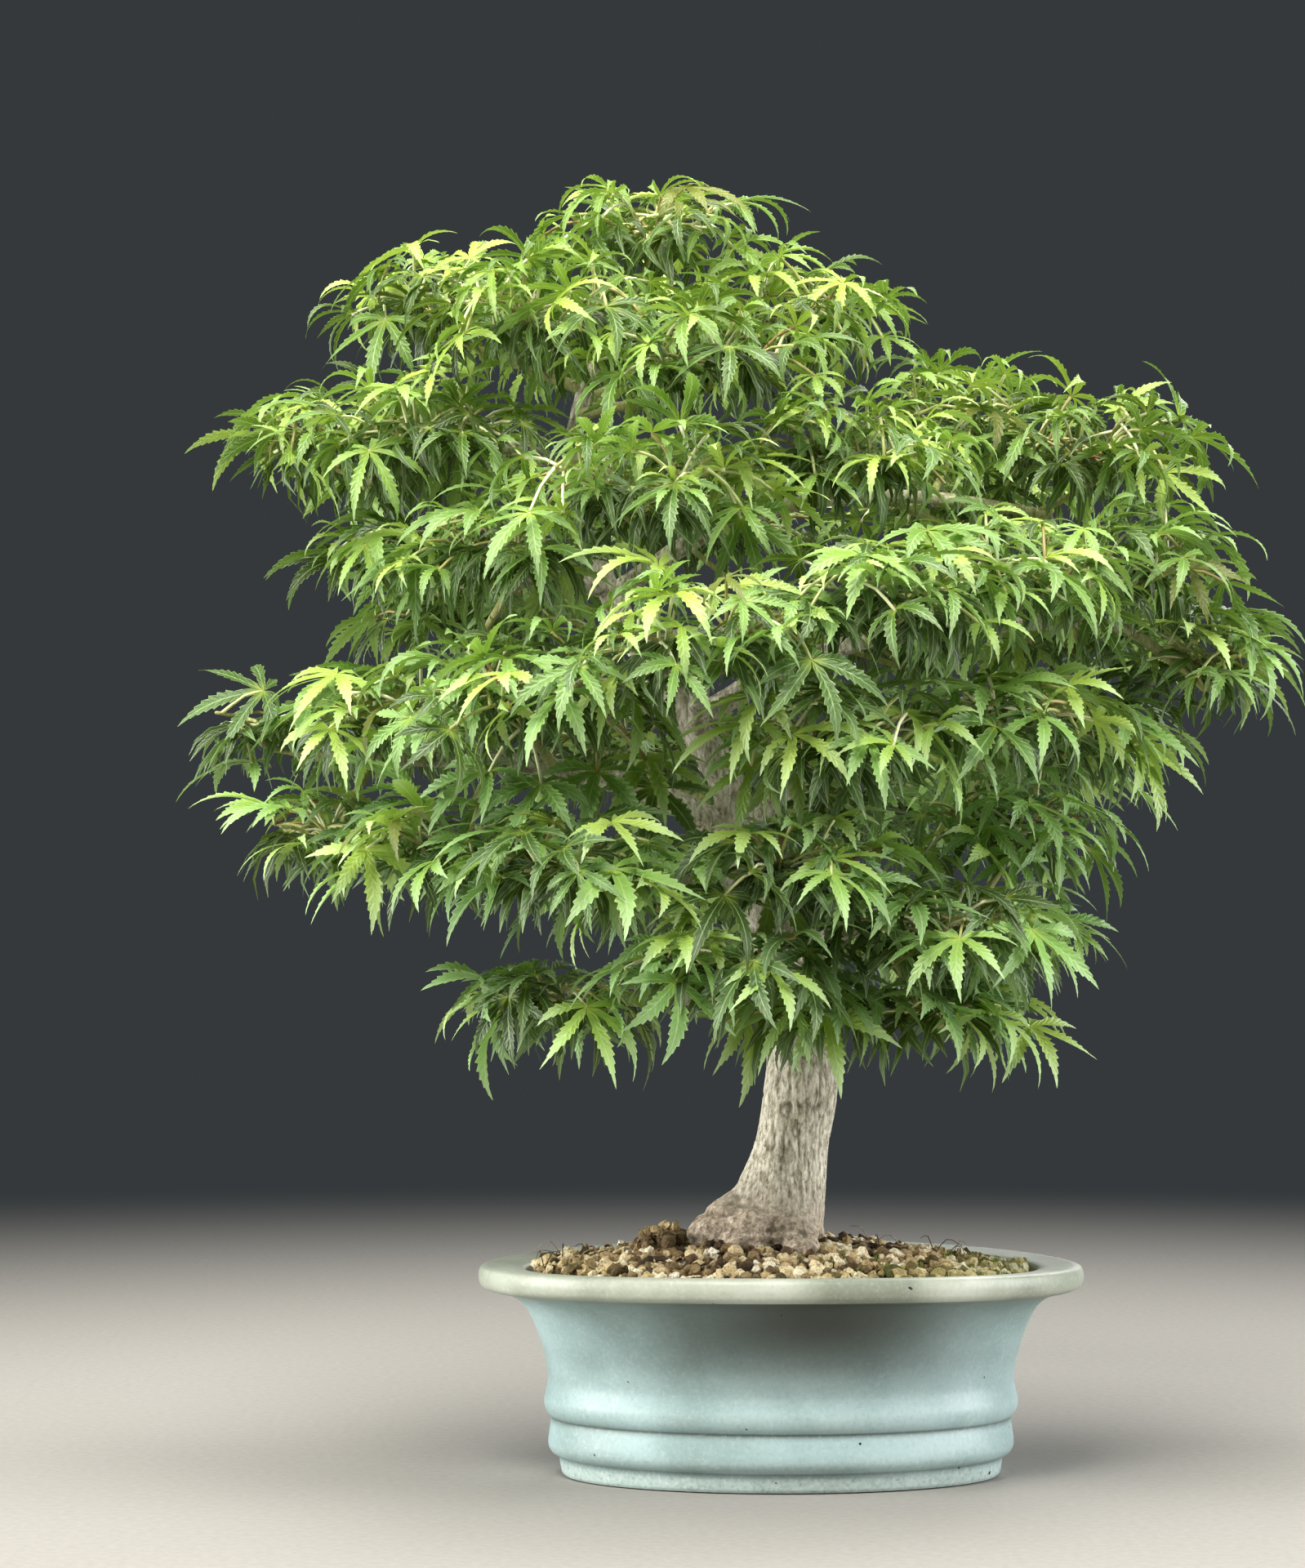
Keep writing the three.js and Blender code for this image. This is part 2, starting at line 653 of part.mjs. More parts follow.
// The leaves, one by one, each kept clear of all that stands already
const woodNear = holes.map(boxed);
const leavesOf = SPRAYS.map(() => []);
for (const spray of SPRAYS) {
  const heart = hearts[spray.index];
  const foot = spray.middle.clone().addScaledVector(UP, -0.1 * spray.half.z);
  leafPlaces(spray).forEach((place, k) => {
    const draw = seeded(9000 + 100 * spray.index + k);
    let turned = place;
    for (let attempt = 1; attempt <= LEAF_TRIES; attempt++) {
      const whole = leafOf(turned, foot);
      const bare = boxed(whole.subtract(heart.solid));
      const fits =
        whole.intersect(heart.solid).volume() > STALK_SUNK &&
        bare.solid.decompose().length === 1 &&
        !hearts.some((other) => other !== heart && tooNear(bare, other)) &&
        !leavesOf.flat().some((other) => tooNear(bare, other.bare)) &&
        !woodNear.some((piece) => meets(bare, piece));
      if (fits) {
        leavesOf[spray.index].push({ whole, bare });
        return;
      }
      turned = turnAside(place, foot, attempt, draw);
    }
  });
}
const foliage = material(COLOUR.leaf, 0.55);
for (const { name, index } of SPRAYS) {
  const leaves = leavesOf[index].map(({ whole }) => whole);
  const spray = wasm.Manifold.union([hearts[index].solid, ...leaves]);
  tree.add(meshOf("spray_" + name, spray, foliage));
}

export default tree;
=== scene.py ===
# %% [markdown]
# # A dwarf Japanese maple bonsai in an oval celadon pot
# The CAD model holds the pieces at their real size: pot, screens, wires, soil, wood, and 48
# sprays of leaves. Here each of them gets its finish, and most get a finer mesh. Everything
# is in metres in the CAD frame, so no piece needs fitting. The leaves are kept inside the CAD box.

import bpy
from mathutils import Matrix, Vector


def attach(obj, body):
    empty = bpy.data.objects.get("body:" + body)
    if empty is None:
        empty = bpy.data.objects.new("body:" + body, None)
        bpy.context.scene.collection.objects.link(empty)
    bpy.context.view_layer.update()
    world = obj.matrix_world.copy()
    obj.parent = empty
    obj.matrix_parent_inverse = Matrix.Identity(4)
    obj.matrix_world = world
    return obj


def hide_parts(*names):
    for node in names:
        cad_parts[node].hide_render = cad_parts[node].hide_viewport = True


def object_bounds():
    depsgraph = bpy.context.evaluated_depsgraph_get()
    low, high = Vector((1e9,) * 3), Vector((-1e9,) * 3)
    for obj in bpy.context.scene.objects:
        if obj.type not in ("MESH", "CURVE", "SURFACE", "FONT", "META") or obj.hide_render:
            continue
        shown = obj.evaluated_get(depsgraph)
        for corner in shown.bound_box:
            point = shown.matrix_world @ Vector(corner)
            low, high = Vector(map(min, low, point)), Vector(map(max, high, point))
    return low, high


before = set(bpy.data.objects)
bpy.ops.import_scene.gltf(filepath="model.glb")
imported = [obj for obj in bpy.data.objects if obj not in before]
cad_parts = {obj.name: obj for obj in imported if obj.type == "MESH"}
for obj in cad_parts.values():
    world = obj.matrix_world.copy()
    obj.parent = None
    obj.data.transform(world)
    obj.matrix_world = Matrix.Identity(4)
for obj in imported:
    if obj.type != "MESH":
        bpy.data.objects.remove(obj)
cad_low, cad_high = [list(corner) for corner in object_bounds()]

import math

import bmesh
import bpy
import numpy as np
from mathutils import Matrix, Vector, noise

print("CAD nodes:", len(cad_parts), "box:", cad_low, cad_high)

# %% [markdown]
# ## Millimetres round the pot
# A potter and a grower both measure from the middle of the pot's foot, in millimetres. So the
# points below are in millimetres from there, and one function takes them to the frame.

# %% From the maker's millimetres to the frame
POT_AT = np.array([19.0, 7.5, 0.0])
MM = 0.001


def to_frame(points):
    """Points in millimetres from the middle of the pot's foot, as metres in the frame."""
    return (np.asarray(points, float) + POT_AT) * MM


box_low = np.array(cad_low) / MM - POT_AT
box_high = np.array(cad_high) / MM - POT_AT
print("the box from the pot's middle, mm:", box_low.round(1), box_high.round(1))

# %% [markdown]
# ## One draw for everything random
# A plant looks grown because no two leaves are alike, yet the scene has to be the same on
# every run. A small seeded generator does both. The leaves' first places use the same one
# as the CAD model, so that the fine leaves stand where the solid ones do.


# %% Seeded draws
def seeded(seed):
    """A function that gives the next number from 0 to 1, the same on every run."""
    state = [seed]

    def draw():
        state[0] = (state[0] * 1664525 + 1013904223) % 2**32
        return state[0] / 2**32

    return draw


print("first draw of seed 100:", round(seeded(100)(), 4))

# %% [markdown]
# ## Making a mesh
# Blender can build a mesh from plain lists of points and faces. One function does it for all
# pieces: it also keeps numbers on the points, such as how deep a crack is, for the materials.


# %% A piece from points and faces
def make_piece(name, points, faces, finishes, replaced=(), marks=None, finish_of=None):
    """Makes a smooth mesh that rides on the root. marks are numbers kept on its points."""
    mesh = bpy.data.meshes.new(name)
    mesh.from_pydata(to_frame(points).tolist(), [], faces)
    for mark, values in (marks or {}).items():
        layer = mesh.attributes.new(mark, "FLOAT", "POINT")
        layer.data.foreach_set("value", np.asarray(values, np.float32))
    for finish in finishes:
        mesh.materials.append(finish)
    if finish_of is not None:
        mesh.polygons.foreach_set("material_index", np.asarray(finish_of, np.int32))
    mesh.polygons.foreach_set("use_smooth", np.ones(len(faces), bool))
    mesh.update()
    piece = bpy.data.objects.new(name, mesh)
    bpy.context.scene.collection.objects.link(piece)
    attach(piece, "root")
    if replaced:
        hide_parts(*replaced)
    return piece


def facets(piece):
    """Shades a piece face by face, for broken stone."""
    piece.data.polygons.foreach_set("use_smooth", np.zeros(len(piece.data.polygons), bool))


def triangles_of(piece):
    """How many triangles the faces of a piece make."""
    return sum(len(face.vertices) - 2 for face in piece.data.polygons)


# %% [markdown]
# ## Colours and nodes
# Hex colours read off a photo are sRGB, and shaders want linear light, so one function turns
# them. Another adds a shader node with its settings and links, and hands back the socket that
# the next node needs, which keeps each material short enough to read. A pattern's scale is one
# over its real size, so a third one turns millimetres into a texture's scale.


# %% Colour, node and scale helpers
def linear(colour):
    """An sRGB hex colour such as "#a9c0bd" as the linear colour that a shader takes."""
    shares = [int(colour[i : i + 2], 16) / 255 for i in (1, 3, 5)]
    light = [c / 12.92 if c <= 0.04045 else ((c + 0.055) / 1.055) ** 2.4 for c in shares]
    return (*light, 1.0)


def add(tree, kind, inputs=None, out=0, stops=(), **settings):
    """Adds a node, sets or links its inputs, and gives the socket that out names."""
    node = tree.nodes.new("ShaderNode" + kind)
    for name, value in settings.items():
        setattr(node, name, value)
    if stops:
        ramp = node.color_ramp.elements
        ramp[0].position = stops[0][0]
        ramp[1].position = stops[-1][0]
        for place, _ in stops[1:-1]:
            ramp.new(place)
        for element, (_, colour) in zip(ramp, stops):
            element.color = linear(colour)
    for name, value in (inputs or {}).items():
        if isinstance(value, bpy.types.NodeSocket):
            tree.links.new(value, node.inputs[name])
        else:
            node.inputs[name].default_value = linear(value) if isinstance(value, str) else value
    return node.outputs[out] if node.outputs else None


# A Mix node that mixes colours: 0 is the share of the second one, 6 and 7 are the colours
COLOUR_MIX = {"data_type": "RGBA", "out": 2}


def per_mm(size):
    """The scale of a texture whose features are size millimetres apart."""
    return 1 / (size * MM)


def new_finish(name):
    """An empty node material and its tree."""
    finish = bpy.data.materials.new(name)
    finish.use_nodes = True
    finish.node_tree.nodes.clear()
    return finish, finish.node_tree


print("celadon in linear light:", [round(c, 3) for c in linear("#a9c0bd")])

# %% [markdown]
# ## Celadon glaze
# The pot is stoneware under a celadon glaze: a feldspar glaze with a little iron, fired
# without much air, which gives the cool grey-green. On the crests of the beads it runs thin
# and pale, in the grooves it pools dark, and the lip, which the potter wiped, is a warmer grey.
# The wall under the lip is darkened by a painted shadow of the lip, most in the middle of the
# long sides. Iron grains in the clay burn through as small specks, and the foot is bare clay.
# A glaze is glass, so its IOR is about 1.5, and old pots are rubbed a little dull. A painted
# picture could carry all this, but it would have to be fitted to the oval and blurs close up.
# So each is a coat over the one before, and marks on the pot's points say where it lies.


# %% The glaze and the bare clay
def celadon_glaze():
    """Cool grey-green glass over stoneware, with soft clouds, fine flecks and a gloss gone dull."""
    finish, tree = new_finish("celadon_glaze")
    where = add(tree, "TexCoord", out="Object")
    thin, pooled, lip, painted_lip_shadow, bare = [
        add(tree, "Attribute", out="Fac", attribute_name=mark)
        for mark in ("thin", "pooled", "lip", "painted_lip_shadow", "bare")
    ]
    clouds = add(tree, "TexNoise", {"Vector": where, "Scale": per_mm(42), "Detail": 3.0})
    body = [(0.34, "#8aa19e"), (0.5, "#9cb5b4"), (0.66, "#afc7c7")]
    colour = add(tree, "ValToRGB", {"Fac": clouds}, stops=body)
    warmer = [(0.38, "#8f9584"), (0.52, "#aab09f"), (0.66, "#c6cbbc")]
    lip_tone = add(tree, "ValToRGB", {"Fac": clouds}, stops=warmer)
    mottle = add(tree, "TexNoise", {"Vector": where, "Scale": per_mm(2.6), "Detail": 4.0})
    pale = add(tree, "ValToRGB", {"Fac": mottle}, stops=[(0.5, "#000000"), (0.75, "#4a4a4a")])
    grain = {"Vector": where, "Scale": per_mm(1.5), "Detail": 5.0, "Roughness": 0.7}
    flecks = add(tree, "TexNoise", grain)
    light = add(tree, "MapRange", {"Value": flecks, "From Min": 0.52, "From Max": 0.66})
    dark = add(tree, "MapRange", {"Value": flecks, "From Min": 0.46, "From Max": 0.34})
    on_crests = add(tree, "Math", {0: thin, 1: 0.5, 2: 0.16}, operation="MULTIPLY_ADD")
    light_flecks = add(tree, "Math", {0: light, 1: on_crests}, operation="MULTIPLY")
    dark_flecks = add(tree, "Math", {0: dark, 1: on_crests}, operation="MULTIPLY")
    # Iron specks: one in each cell of 10 mm, smeared out of round, and not in every cell
    smear = add(tree, "TexNoise", {"Vector": where, "Scale": per_mm(2), "Detail": 2.0}, "Color")
    shift = {0: smear, 1: (1.8 * MM, 1.8 * MM, 1.8 * MM), 2: where}
    smeared = add(tree, "VectorMath", shift, operation="MULTIPLY_ADD")
    far = add(tree, "TexVoronoi", {"Vector": smeared, "Scale": per_mm(10)})
    chance = add(tree, "SeparateColor", {"Color": far.node.outputs["Color"]})
    size = {0: chance.node.outputs["Green"], 1: 0.05, 2: 0.015}
    reach = add(tree, "Math", size, operation="MULTIPLY_ADD")
    near = add(tree, "Math", {0: far, 1: reach}, operation="LESS_THAN")
    some = add(tree, "Math", {0: chance, 1: 0.36}, operation="GREATER_THAN")
    speck = add(tree, "Math", {0: near, 1: some}, operation="MULTIPLY")
    coats = [
        (pale, "#c4d8d4"),
        (thin, "#c5d6ce"),
        (pooled, "#3f453d"),
        (lip, lip_tone),
        (light_flecks, "#e2ece6"),
        (dark_flecks, "#64756f"),
        # the painted shadow of the lip on the wall below it
        (painted_lip_shadow, "#3d3f36"),
        (speck, "#26251e"),
        (bare, "#a8937a"),
    ]
    for share, tone in coats:
        colour = add(tree, "Mix", {0: share, 6: colour, 7: tone}, **COLOUR_MIX)
    gloss = add(tree, "MapRange", {"Value": mottle, "To Min": 0.36, "To Max": 0.54})
    waves = add(tree, "TexNoise", {"Vector": where, "Scale": per_mm(16), "Detail": 1.0})
    uneven = add(tree, "Bump", {"Strength": 0.1, "Distance": 0.4 * MM, "Height": waves})
    looks = {"Base Color": colour, "Roughness": gloss, "IOR": 1.5, "Normal": uneven}
    add(tree, "OutputMaterial", {"Surface": add(tree, "BsdfPrincipled", looks)})
    return finish


glaze = celadon_glaze()
print("made", glaze.name, "with", len(glaze.node_tree.nodes), "nodes")

# %% [markdown]
# ## The pot
# A pot like this is pressed in an oval mould: a flared wall with a wide flat lip, two raised
# beads round the base, and a low foot. It could be a lathed pot that is scaled to an oval, but
# then its wall would be thinner in front than at the ends. So one profile is swept round an
# oval, and the wall stays even, because each ring is the same 25.2 mm shorter front to back.
# The profile passes smoothly through a few points that were measured on the silhouette.
# In drying, such a pot's lip lifts a little in the middle of its long sides.

# %% The profile of the pot
POT_DEPTH_LESS = 25.2
EVEN_BELOW = 50  # rings of less than this half length keep one proportion
POT_SIDES = 152
POT_STEPS = 5
RIM_RISE = 2.0  # the lip stands this much higher in the middle of its long sides
RISE_FROM, RISE_TO = 42, 62  # the heights between which the wall takes up that rise
FLOOR_TOP = 14.5
FLOOR_UNDER = 7.0
DRAIN_X = 30.0
DRAIN_RADIUS = 8.0
# Runs of [half length of the oval, height]; two runs meet at a sharp corner. They are the
# underside, the foot, the lower bead, the upper bead with the wall and the lip, and the inside
POT_RUNS = [
    [[20, FLOOR_UNDER], [60, FLOOR_UNDER], [64, 6.4], [65.6, 3.5], [66.4, 0.6], [67.2, 0]],
    [[67.2, 0], [72.6, 0], [73.6, 0.5], [74.2, 1.8], [74.9, 6.4]],
    [[74.9, 6.4], [77.1, 7.6], [78.4, 9.6], [78.6, 12], [78.1, 15.6], [77.5, 19.6]],
    [[77.5, 19.6], [78.9, 21], [79.8, 23.1], [80, 25.6], [79.3, 28.8], [78.8, 32.4], [79.2, 37],
     [80.4, 42.4], [82.6, 49], [85.4, 55], [88.4, 58.8], [92.6, 61.1], [98.4, 62.5],
     [101.1, 63.7], [102.1, 66], [102.1, 68.2], [101.4, 70], [99.6, 70.6]],
    [[99.6, 70.6], [94, 70.2], [88.6, 69.9], [86.6, 69.2], [85.8, 67.4], [83, 60], [77, 46],
     [73.6, 30], [72.4, 21], [70.6, 16.4], [67, FLOOR_TOP], [20, FLOOR_TOP]],
]
print("measured points on the profile:", sum(len(run) for run in POT_RUNS))


# %% Smooth curves, ovals and rings
def smooth_run(points, steps):
    """A smooth curve that passes through all points, each of any number of values."""
    rows = np.asarray(points, float)
    ends = np.vstack([2 * rows[0] - rows[1], rows, 2 * rows[-1] - rows[-2]])
    line = []
    for before, here, after, beyond in zip(ends, ends[1:], ends[2:], ends[3:]):
        for t in np.arange(steps) / steps:
            line.append(
                0.5
                * (
                    2 * here
                    + (after - before) * t
                    + (2 * before - 5 * here + 4 * after - beyond) * t**2
                    + (3 * here - before - 3 * after + beyond) * t**3
                )
            )
    return np.array([*line, rows[-1]])


def oval(half, height, sides=POT_SIDES):
    """The points of one level oval, with the pot's proportions."""
    turns = 2 * np.pi * np.arange(sides) / sides
    depth = half - POT_DEPTH_LESS * min(1, half / EVEN_BELOW)
    return np.column_stack(
        [half * np.cos(turns), depth * np.sin(turns), np.full(sides, height)]
    )


def ring_faces(rings, sides, closed_ends=True):
    """Quads between rings of points, with one face over each end."""
    faces = []
    for r in range(rings - 1):
        for s in range(sides):
            a, b = r * sides + s, r * sides + (s + 1) % sides
            faces.append((a, b, b + sides, a + sides))
    if closed_ends:
        faces.append(tuple(range(sides - 1, -1, -1)))
        faces.append(tuple(range((rings - 1) * sides, rings * sides)))
    return faces


profile = np.vstack([smooth_run(run, POT_STEPS)[:-1] for run in POT_RUNS] + [POT_RUNS[-1][-1]])
print("pot profile points:", len(profile), "widest half length, mm:", profile[:, 0].max())

# %% [markdown]
# The glaze thins on crests and pools in grooves, so each point of the profile is marked by
# how far it stands out of, or lies behind, the middle of the wall on either side of it.
# The lip, the bare clay under the foot and the painted shadow under the lip, which is strongest
# in the middle of the long sides, get marks of their own.

# %% Marks on the profile
MARK_REACH = 6  # points of the profile on either side
WALL_TOP = 57  # height where the wall ends and the lip's hollow begins
FOOT_EDGE = 72.4  # half length of the foot's outer edge
LIP_UNDER, LIP_FACE = 60.6, 62.8  # heights where the lip's tone begins and is full
LIP_SHADOW_FROM, LIP_SHADOW_FULL = 24, 56  # heights between which the painted shadow under the lip grows
LIP_SHADOW_DEEP = 0.94
LIP_SHADOW_NARROW = 3.2  # the higher, the more it keeps to the middle of the long sides
LIP_SHADOW_TURN = 0.11  # radians by which its middle is off the pot's own


def share_between(value, low, high):
    """0 at low, 1 at high, and a smooth rise between."""
    t = np.clip((np.asarray(value, float) - low) / (high - low), 0, 1)
    return t * t * (3 - 2 * t)


def profile_marks(line):
    """How thin, pooled, lip-toned and bare each point of the profile is, from 0 to 1."""
    half, height = line.T
    window = 2 * MARK_REACH + 1
    around = np.convolve(half, np.ones(window) / window, mode="same")
    around[:MARK_REACH] = half[:MARK_REACH]
    around[-MARK_REACH:] = half[-MARK_REACH:]
    wall = (np.arange(len(line)) < np.argmax(height)) & (height < WALL_TOP)
    crests = share_between(half - around, 0.1, 0.9) * wall * 0.75
    foot = share_between(-height, -6.0, -4.4) * (half > FOOT_EDGE + 0.4)
    thin = np.maximum(crests, 0.6 * foot)
    pooled = share_between(around - half, 0.15, 0.8) * wall * 0.9
    lip = share_between(height, LIP_UNDER, LIP_FACE)
    bare = share_between(-half, -FOOT_EDGE - 1, -FOOT_EDGE) * (height < FLOOR_UNDER + 1)
    return {"thin": thin, "pooled": pooled, "lip": lip, "bare": bare}


profile[:, 1] = np.maximum(profile[:, 1], 0)
shares = profile_marks(profile)
print("strongest marks:", {name: round(float(values.max()), 2) for name, values in shares.items()})

# %% The pot's mesh
points = np.vstack([oval(half, height) for half, height in profile])
marks = {name: np.repeat(values, POT_SIDES) for name, values in shares.items()}
turns = 2 * np.pi * np.arange(POT_SIDES) / POT_SIDES
heights = profile[:, 1]
rise = RIM_RISE * np.outer(share_between(heights, RISE_FROM, RISE_TO), np.sin(turns) ** 2)
points[:, 2] += rise.ravel()
# A painted shadow of the lip darkens the wall below it, most in the middle of the long sides
long_side = np.abs(np.sin(turns - LIP_SHADOW_TURN)) ** LIP_SHADOW_NARROW
outer = np.arange(len(profile)) < np.argmax(heights)
shadow_below_lip = share_between(heights, LIP_SHADOW_FROM, LIP_SHADOW_FULL) * outer * (heights < 62.6)
marks["painted_lip_shadow"] = LIP_SHADOW_DEEP * np.outer(shadow_below_lip, long_side).ravel()
pot = make_piece(
    "celadon_pot", points, ring_faces(len(profile), POT_SIDES), [glaze], ["pot"], marks
)
print("pot before drilling:", triangles_of(pot), "triangles")


# %% The drain holes
def cylinder(name, x, radius, height):
    """A plain cylinder through the pot's floor, for cutting."""
    mesh = bpy.data.meshes.new(name)
    shape = bmesh.new()
    bmesh.ops.create_cone(
        shape,
        cap_ends=True,
        segments=40,
        radius1=radius * MM,
        radius2=radius * MM,
        depth=height * MM,
        matrix=Matrix.Translation(Vector(to_frame([x, 0, FLOOR_TOP / 2]))),
    )
    shape.to_mesh(mesh)
    shape.free()
    cutter = bpy.data.objects.new(name, mesh)
    bpy.context.scene.collection.objects.link(cutter)
    return cutter


def apply_modifiers(piece):
    """Replaces a piece's mesh with what its modifiers make of it."""
    done = bpy.data.meshes.new_from_object(
        piece.evaluated_get(bpy.context.evaluated_depsgraph_get())
    )
    piece.modifiers.clear()
    piece.data = done


for way in (-1, 1):
    cutter = cylinder("drain_drill", way * DRAIN_X, DRAIN_RADIUS, 4 * FLOOR_TOP)
    cut = pot.modifiers.new("drain hole", "BOOLEAN")
    cut.operation = "DIFFERENCE"
    cut.object = cutter
    apply_modifiers(pot)
    bpy.data.objects.remove(cutter)
print("pot:", triangles_of(pot), "triangles")

# %% [markdown]
# ## Drain screens and their wires
# Under the soil a square of plastic mesh keeps the grit in, and a bent aluminium wire pins it
# down. Their CAD shapes are right, so they stay, and only get the finish of the real stuff:
# moulded polypropylene, which is dark, matt and finely pebbled, and wire that was drawn
# through a die, which leaves a bright metal with fine dull lines along it.


# %% Plastic and wire
def moulded_plastic():
    """Dark matt polypropylene, pebbled by its mould."""
    finish, tree = new_finish("moulded_polypropylene")
    where = add(tree, "TexCoord", out="Object")
    pebbles = add(tree, "TexNoise", {"Vector": where, "Scale": per_mm(0.6), "Detail": 3.0})
    tone = add(tree, "ValToRGB", {"Fac": pebbles}, stops=[(0.35, "#202425"), (0.65, "#363c3d")])
    rough = add(tree, "Bump", {"Strength": 0.3, "Distance": 0.1 * MM, "Height": pebbles})
    looks = {"Base Color": tone, "Roughness": 0.6, "IOR": 1.49, "Normal": rough}
    add(tree, "OutputMaterial", {"Surface": add(tree, "BsdfPrincipled", looks)})
    return finish


def drawn_wire():
    """Bright metal with lines along it: real ones are finer, and 0.2 mm is what still shows."""
    finish, tree = new_finish("drawn_aluminium")
    where = add(tree, "TexCoord", out="Object")
    lines = add(tree, "Mapping", {"Vector": where, "Scale": (1, 14, 14)})
    drawn = add(tree, "TexNoise", {"Vector": lines, "Scale": per_mm(3), "Detail": 2.0})
    tone = add(tree, "ValToRGB", {"Fac": drawn}, stops=[(0.35, "#8b8d8f"), (0.65, "#b4b6b7")])
    dull = add(tree, "MapRange", {"Value": drawn, "To Min": 0.3, "To Max": 0.5})
    looks = {"Base Color": tone, "Metallic": 1.0, "Roughness": dull}
    add(tree, "OutputMaterial", {"Surface": add(tree, "BsdfPrincipled", looks)})
    return finish


plastic, wire = moulded_plastic(), drawn_wire()
for side in ("left", "right"):
    for node, finish in (("drain_screen_" + side, plastic), ("screen_wire_" + side, wire)):
        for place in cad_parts[node].material_slots:
            place.material = finish
print("finished the screens and wires")

# %% [markdown]
# ## The soil
# A maple grows in fired-clay grit: rounded crumbs of 3 to 6 mm, tan to yellow, with darker
# ones between. Kilned clay is dull and full of pits, so it hardly shines. Under the crumbs lies
# a plain heaped bed. Bed and crumbs could be one displaced surface, but loose crumbs only look
# loose when each is a solid of its own. So the crumbs are copies of a few lumpy templates, laid
# on the heap in a jittered grid.


# %% Finish of the grit
def fired_clay_grit():
    """Dull pitted clay in a shade of its own for each crumb, green where algae sit."""
    finish, tree = new_finish("fired_clay_grit")
    where = add(tree, "TexCoord", out="Object")
    tint, algae = [
        add(tree, "Attribute", out="Fac", attribute_name=mark) for mark in ("tint", "algae")
    ]
    shades = [
        (0.0, "#2f2418"),
        (0.18, "#5f4b35"),
        (0.38, "#977f5b"),
        (0.6, "#cdb588"),
        (0.82, "#eddcb4"),
        (1.0, "#fbf4de"),
    ]
    crumb = add(tree, "ValToRGB", {"Fac": tint}, stops=shades)
    grains = add(tree, "TexNoise", {"Vector": where, "Scale": per_mm(0.9), "Detail": 4.0})
    dust = add(tree, "ValToRGB", {"Fac": grains}, stops=[(0.38, "#6a5638"), (0.5, "#ffffff")])
    dusty = add(tree, "Mix", {0: 0.55, 6: crumb, 7: dust}, blend_type="MULTIPLY", **COLOUR_MIX)
    damp = add(tree, "TexNoise", {"Vector": where, "Scale": per_mm(26), "Detail": 3.0})
    green = add(tree, "Math", {0: algae, 1: damp}, operation="MULTIPLY")
    grown = add(tree, "Mix", {0: green, 6: dusty, 7: "#77803c"}, **COLOUR_MIX)
    pits = add(tree, "Bump", {"Strength": 0.7, "Distance": 0.5 * MM, "Height": grains})
    looks = {"Base Color": grown, "Roughness": 0.88, "Specular IOR Level": 0.25, "Normal": pits}
    add(tree, "OutputMaterial", {"Surface": add(tree, "BsdfPrincipled", looks)})
    return finish


grit = fired_clay_grit()
print("made", grit.name)

# %% [markdown]
# The soil is heaped to the trunk and falls off to the rim. One function gives its height
# anywhere, so that the bed, the crumbs and all that lies on them agree.

# %% The heap and its bed
SOIL_HALF = 84.2
SOIL_EDGE_Z = 69.0
SOIL_HEAP = 10.5
TRUNK_X = -5.5
BED_UNDER = 0.8  # the bed stays this far under the soil's top, and the crumbs fill it up
BED_LOW = 18.2  # clear of the screens and the wires over them
BED_SIDE = [[60, BED_LOW], [70.4, BED_LOW], [73.2, 42], [83.6, 66.0]]
BED_SHARES = [0.985, 0.93, 0.86, 0.78, 0.7, 0.61, 0.52, 0.42, 0.31, 0.2, 0.09]
BED_SIDES = 120
BED_SHADE_TINT = 0.12  # dark as painted shade, since only the gaps between crumbs show it


def soil_top(x, y):
    """Height of the heaped soil at a place."""
    out = np.hypot((x - TRUNK_X) / SOIL_HALF, y / (SOIL_HALF - POT_DEPTH_LESS))
    ripple = 0.7 * np.sin(0.9 * x) * np.cos(1.1 * y)
    return SOIL_EDGE_Z + SOIL_HEAP * (1 - np.minimum(1, out) ** 1.3) + ripple


rings = [oval(half, height, BED_SIDES) for half, height in BED_SIDE]
for share in BED_SHARES:
    ring = share * oval(SOIL_HALF, 0, BED_SIDES)
    ring[:, 2] = soil_top(ring[:, 0], ring[:, 1]) - BED_UNDER
    rings.append(ring)
points = np.vstack(rings)
bed_marks = {"tint": np.full(len(points), BED_SHADE_TINT), "algae": np.zeros(len(points))}
bed = make_piece(
    "soil_bed", points, ring_faces(len(rings), BED_SIDES), [grit], ["soil"], bed_marks
)
print("bed:", triangles_of(bed), "triangles")

# %% [markdown]
# Each crumb template is a ball of 80 faces whose points are pushed in and out by smooth
# noise, then squashed a little. A crumb's own shade of tan is kept on its points as "tint".

# %% Crumb templates
CRUMB_KINDS = 14


def ball(subdivisions):
    """The points and triangles of a ball of radius 1."""
    shape = bmesh.new()
    bmesh.ops.create_icosphere(shape, subdivisions=subdivisions, radius=1)
    shape.verts.ensure_lookup_table()
    points = np.array([vertex.co[:] for vertex in shape.verts])
    faces = np.array([[vertex.index for vertex in face.verts] for face in shape.faces])
    shape.free()
    return points, faces


ball_points, ball_faces = ball(2)


def lumpy(kind, roughness):
    """A ball pushed about by noise; each kind reads the noise at another place."""
    shift = Vector((7.3 * kind, 1.7 * kind, -3.1 * kind))
    pushes = [
        1
        + roughness * noise.noise(Vector(p) * 1.2 + shift)
        + 0.6 * roughness * noise.noise(Vector(p) * 2.6 + shift)
        for p in ball_points
    ]
    squash = np.array([1.0, 0.86 - 0.02 * (kind % 5), 0.74 + 0.03 * (kind % 4)])
    return ball_points * np.array(pushes)[:, None] * squash


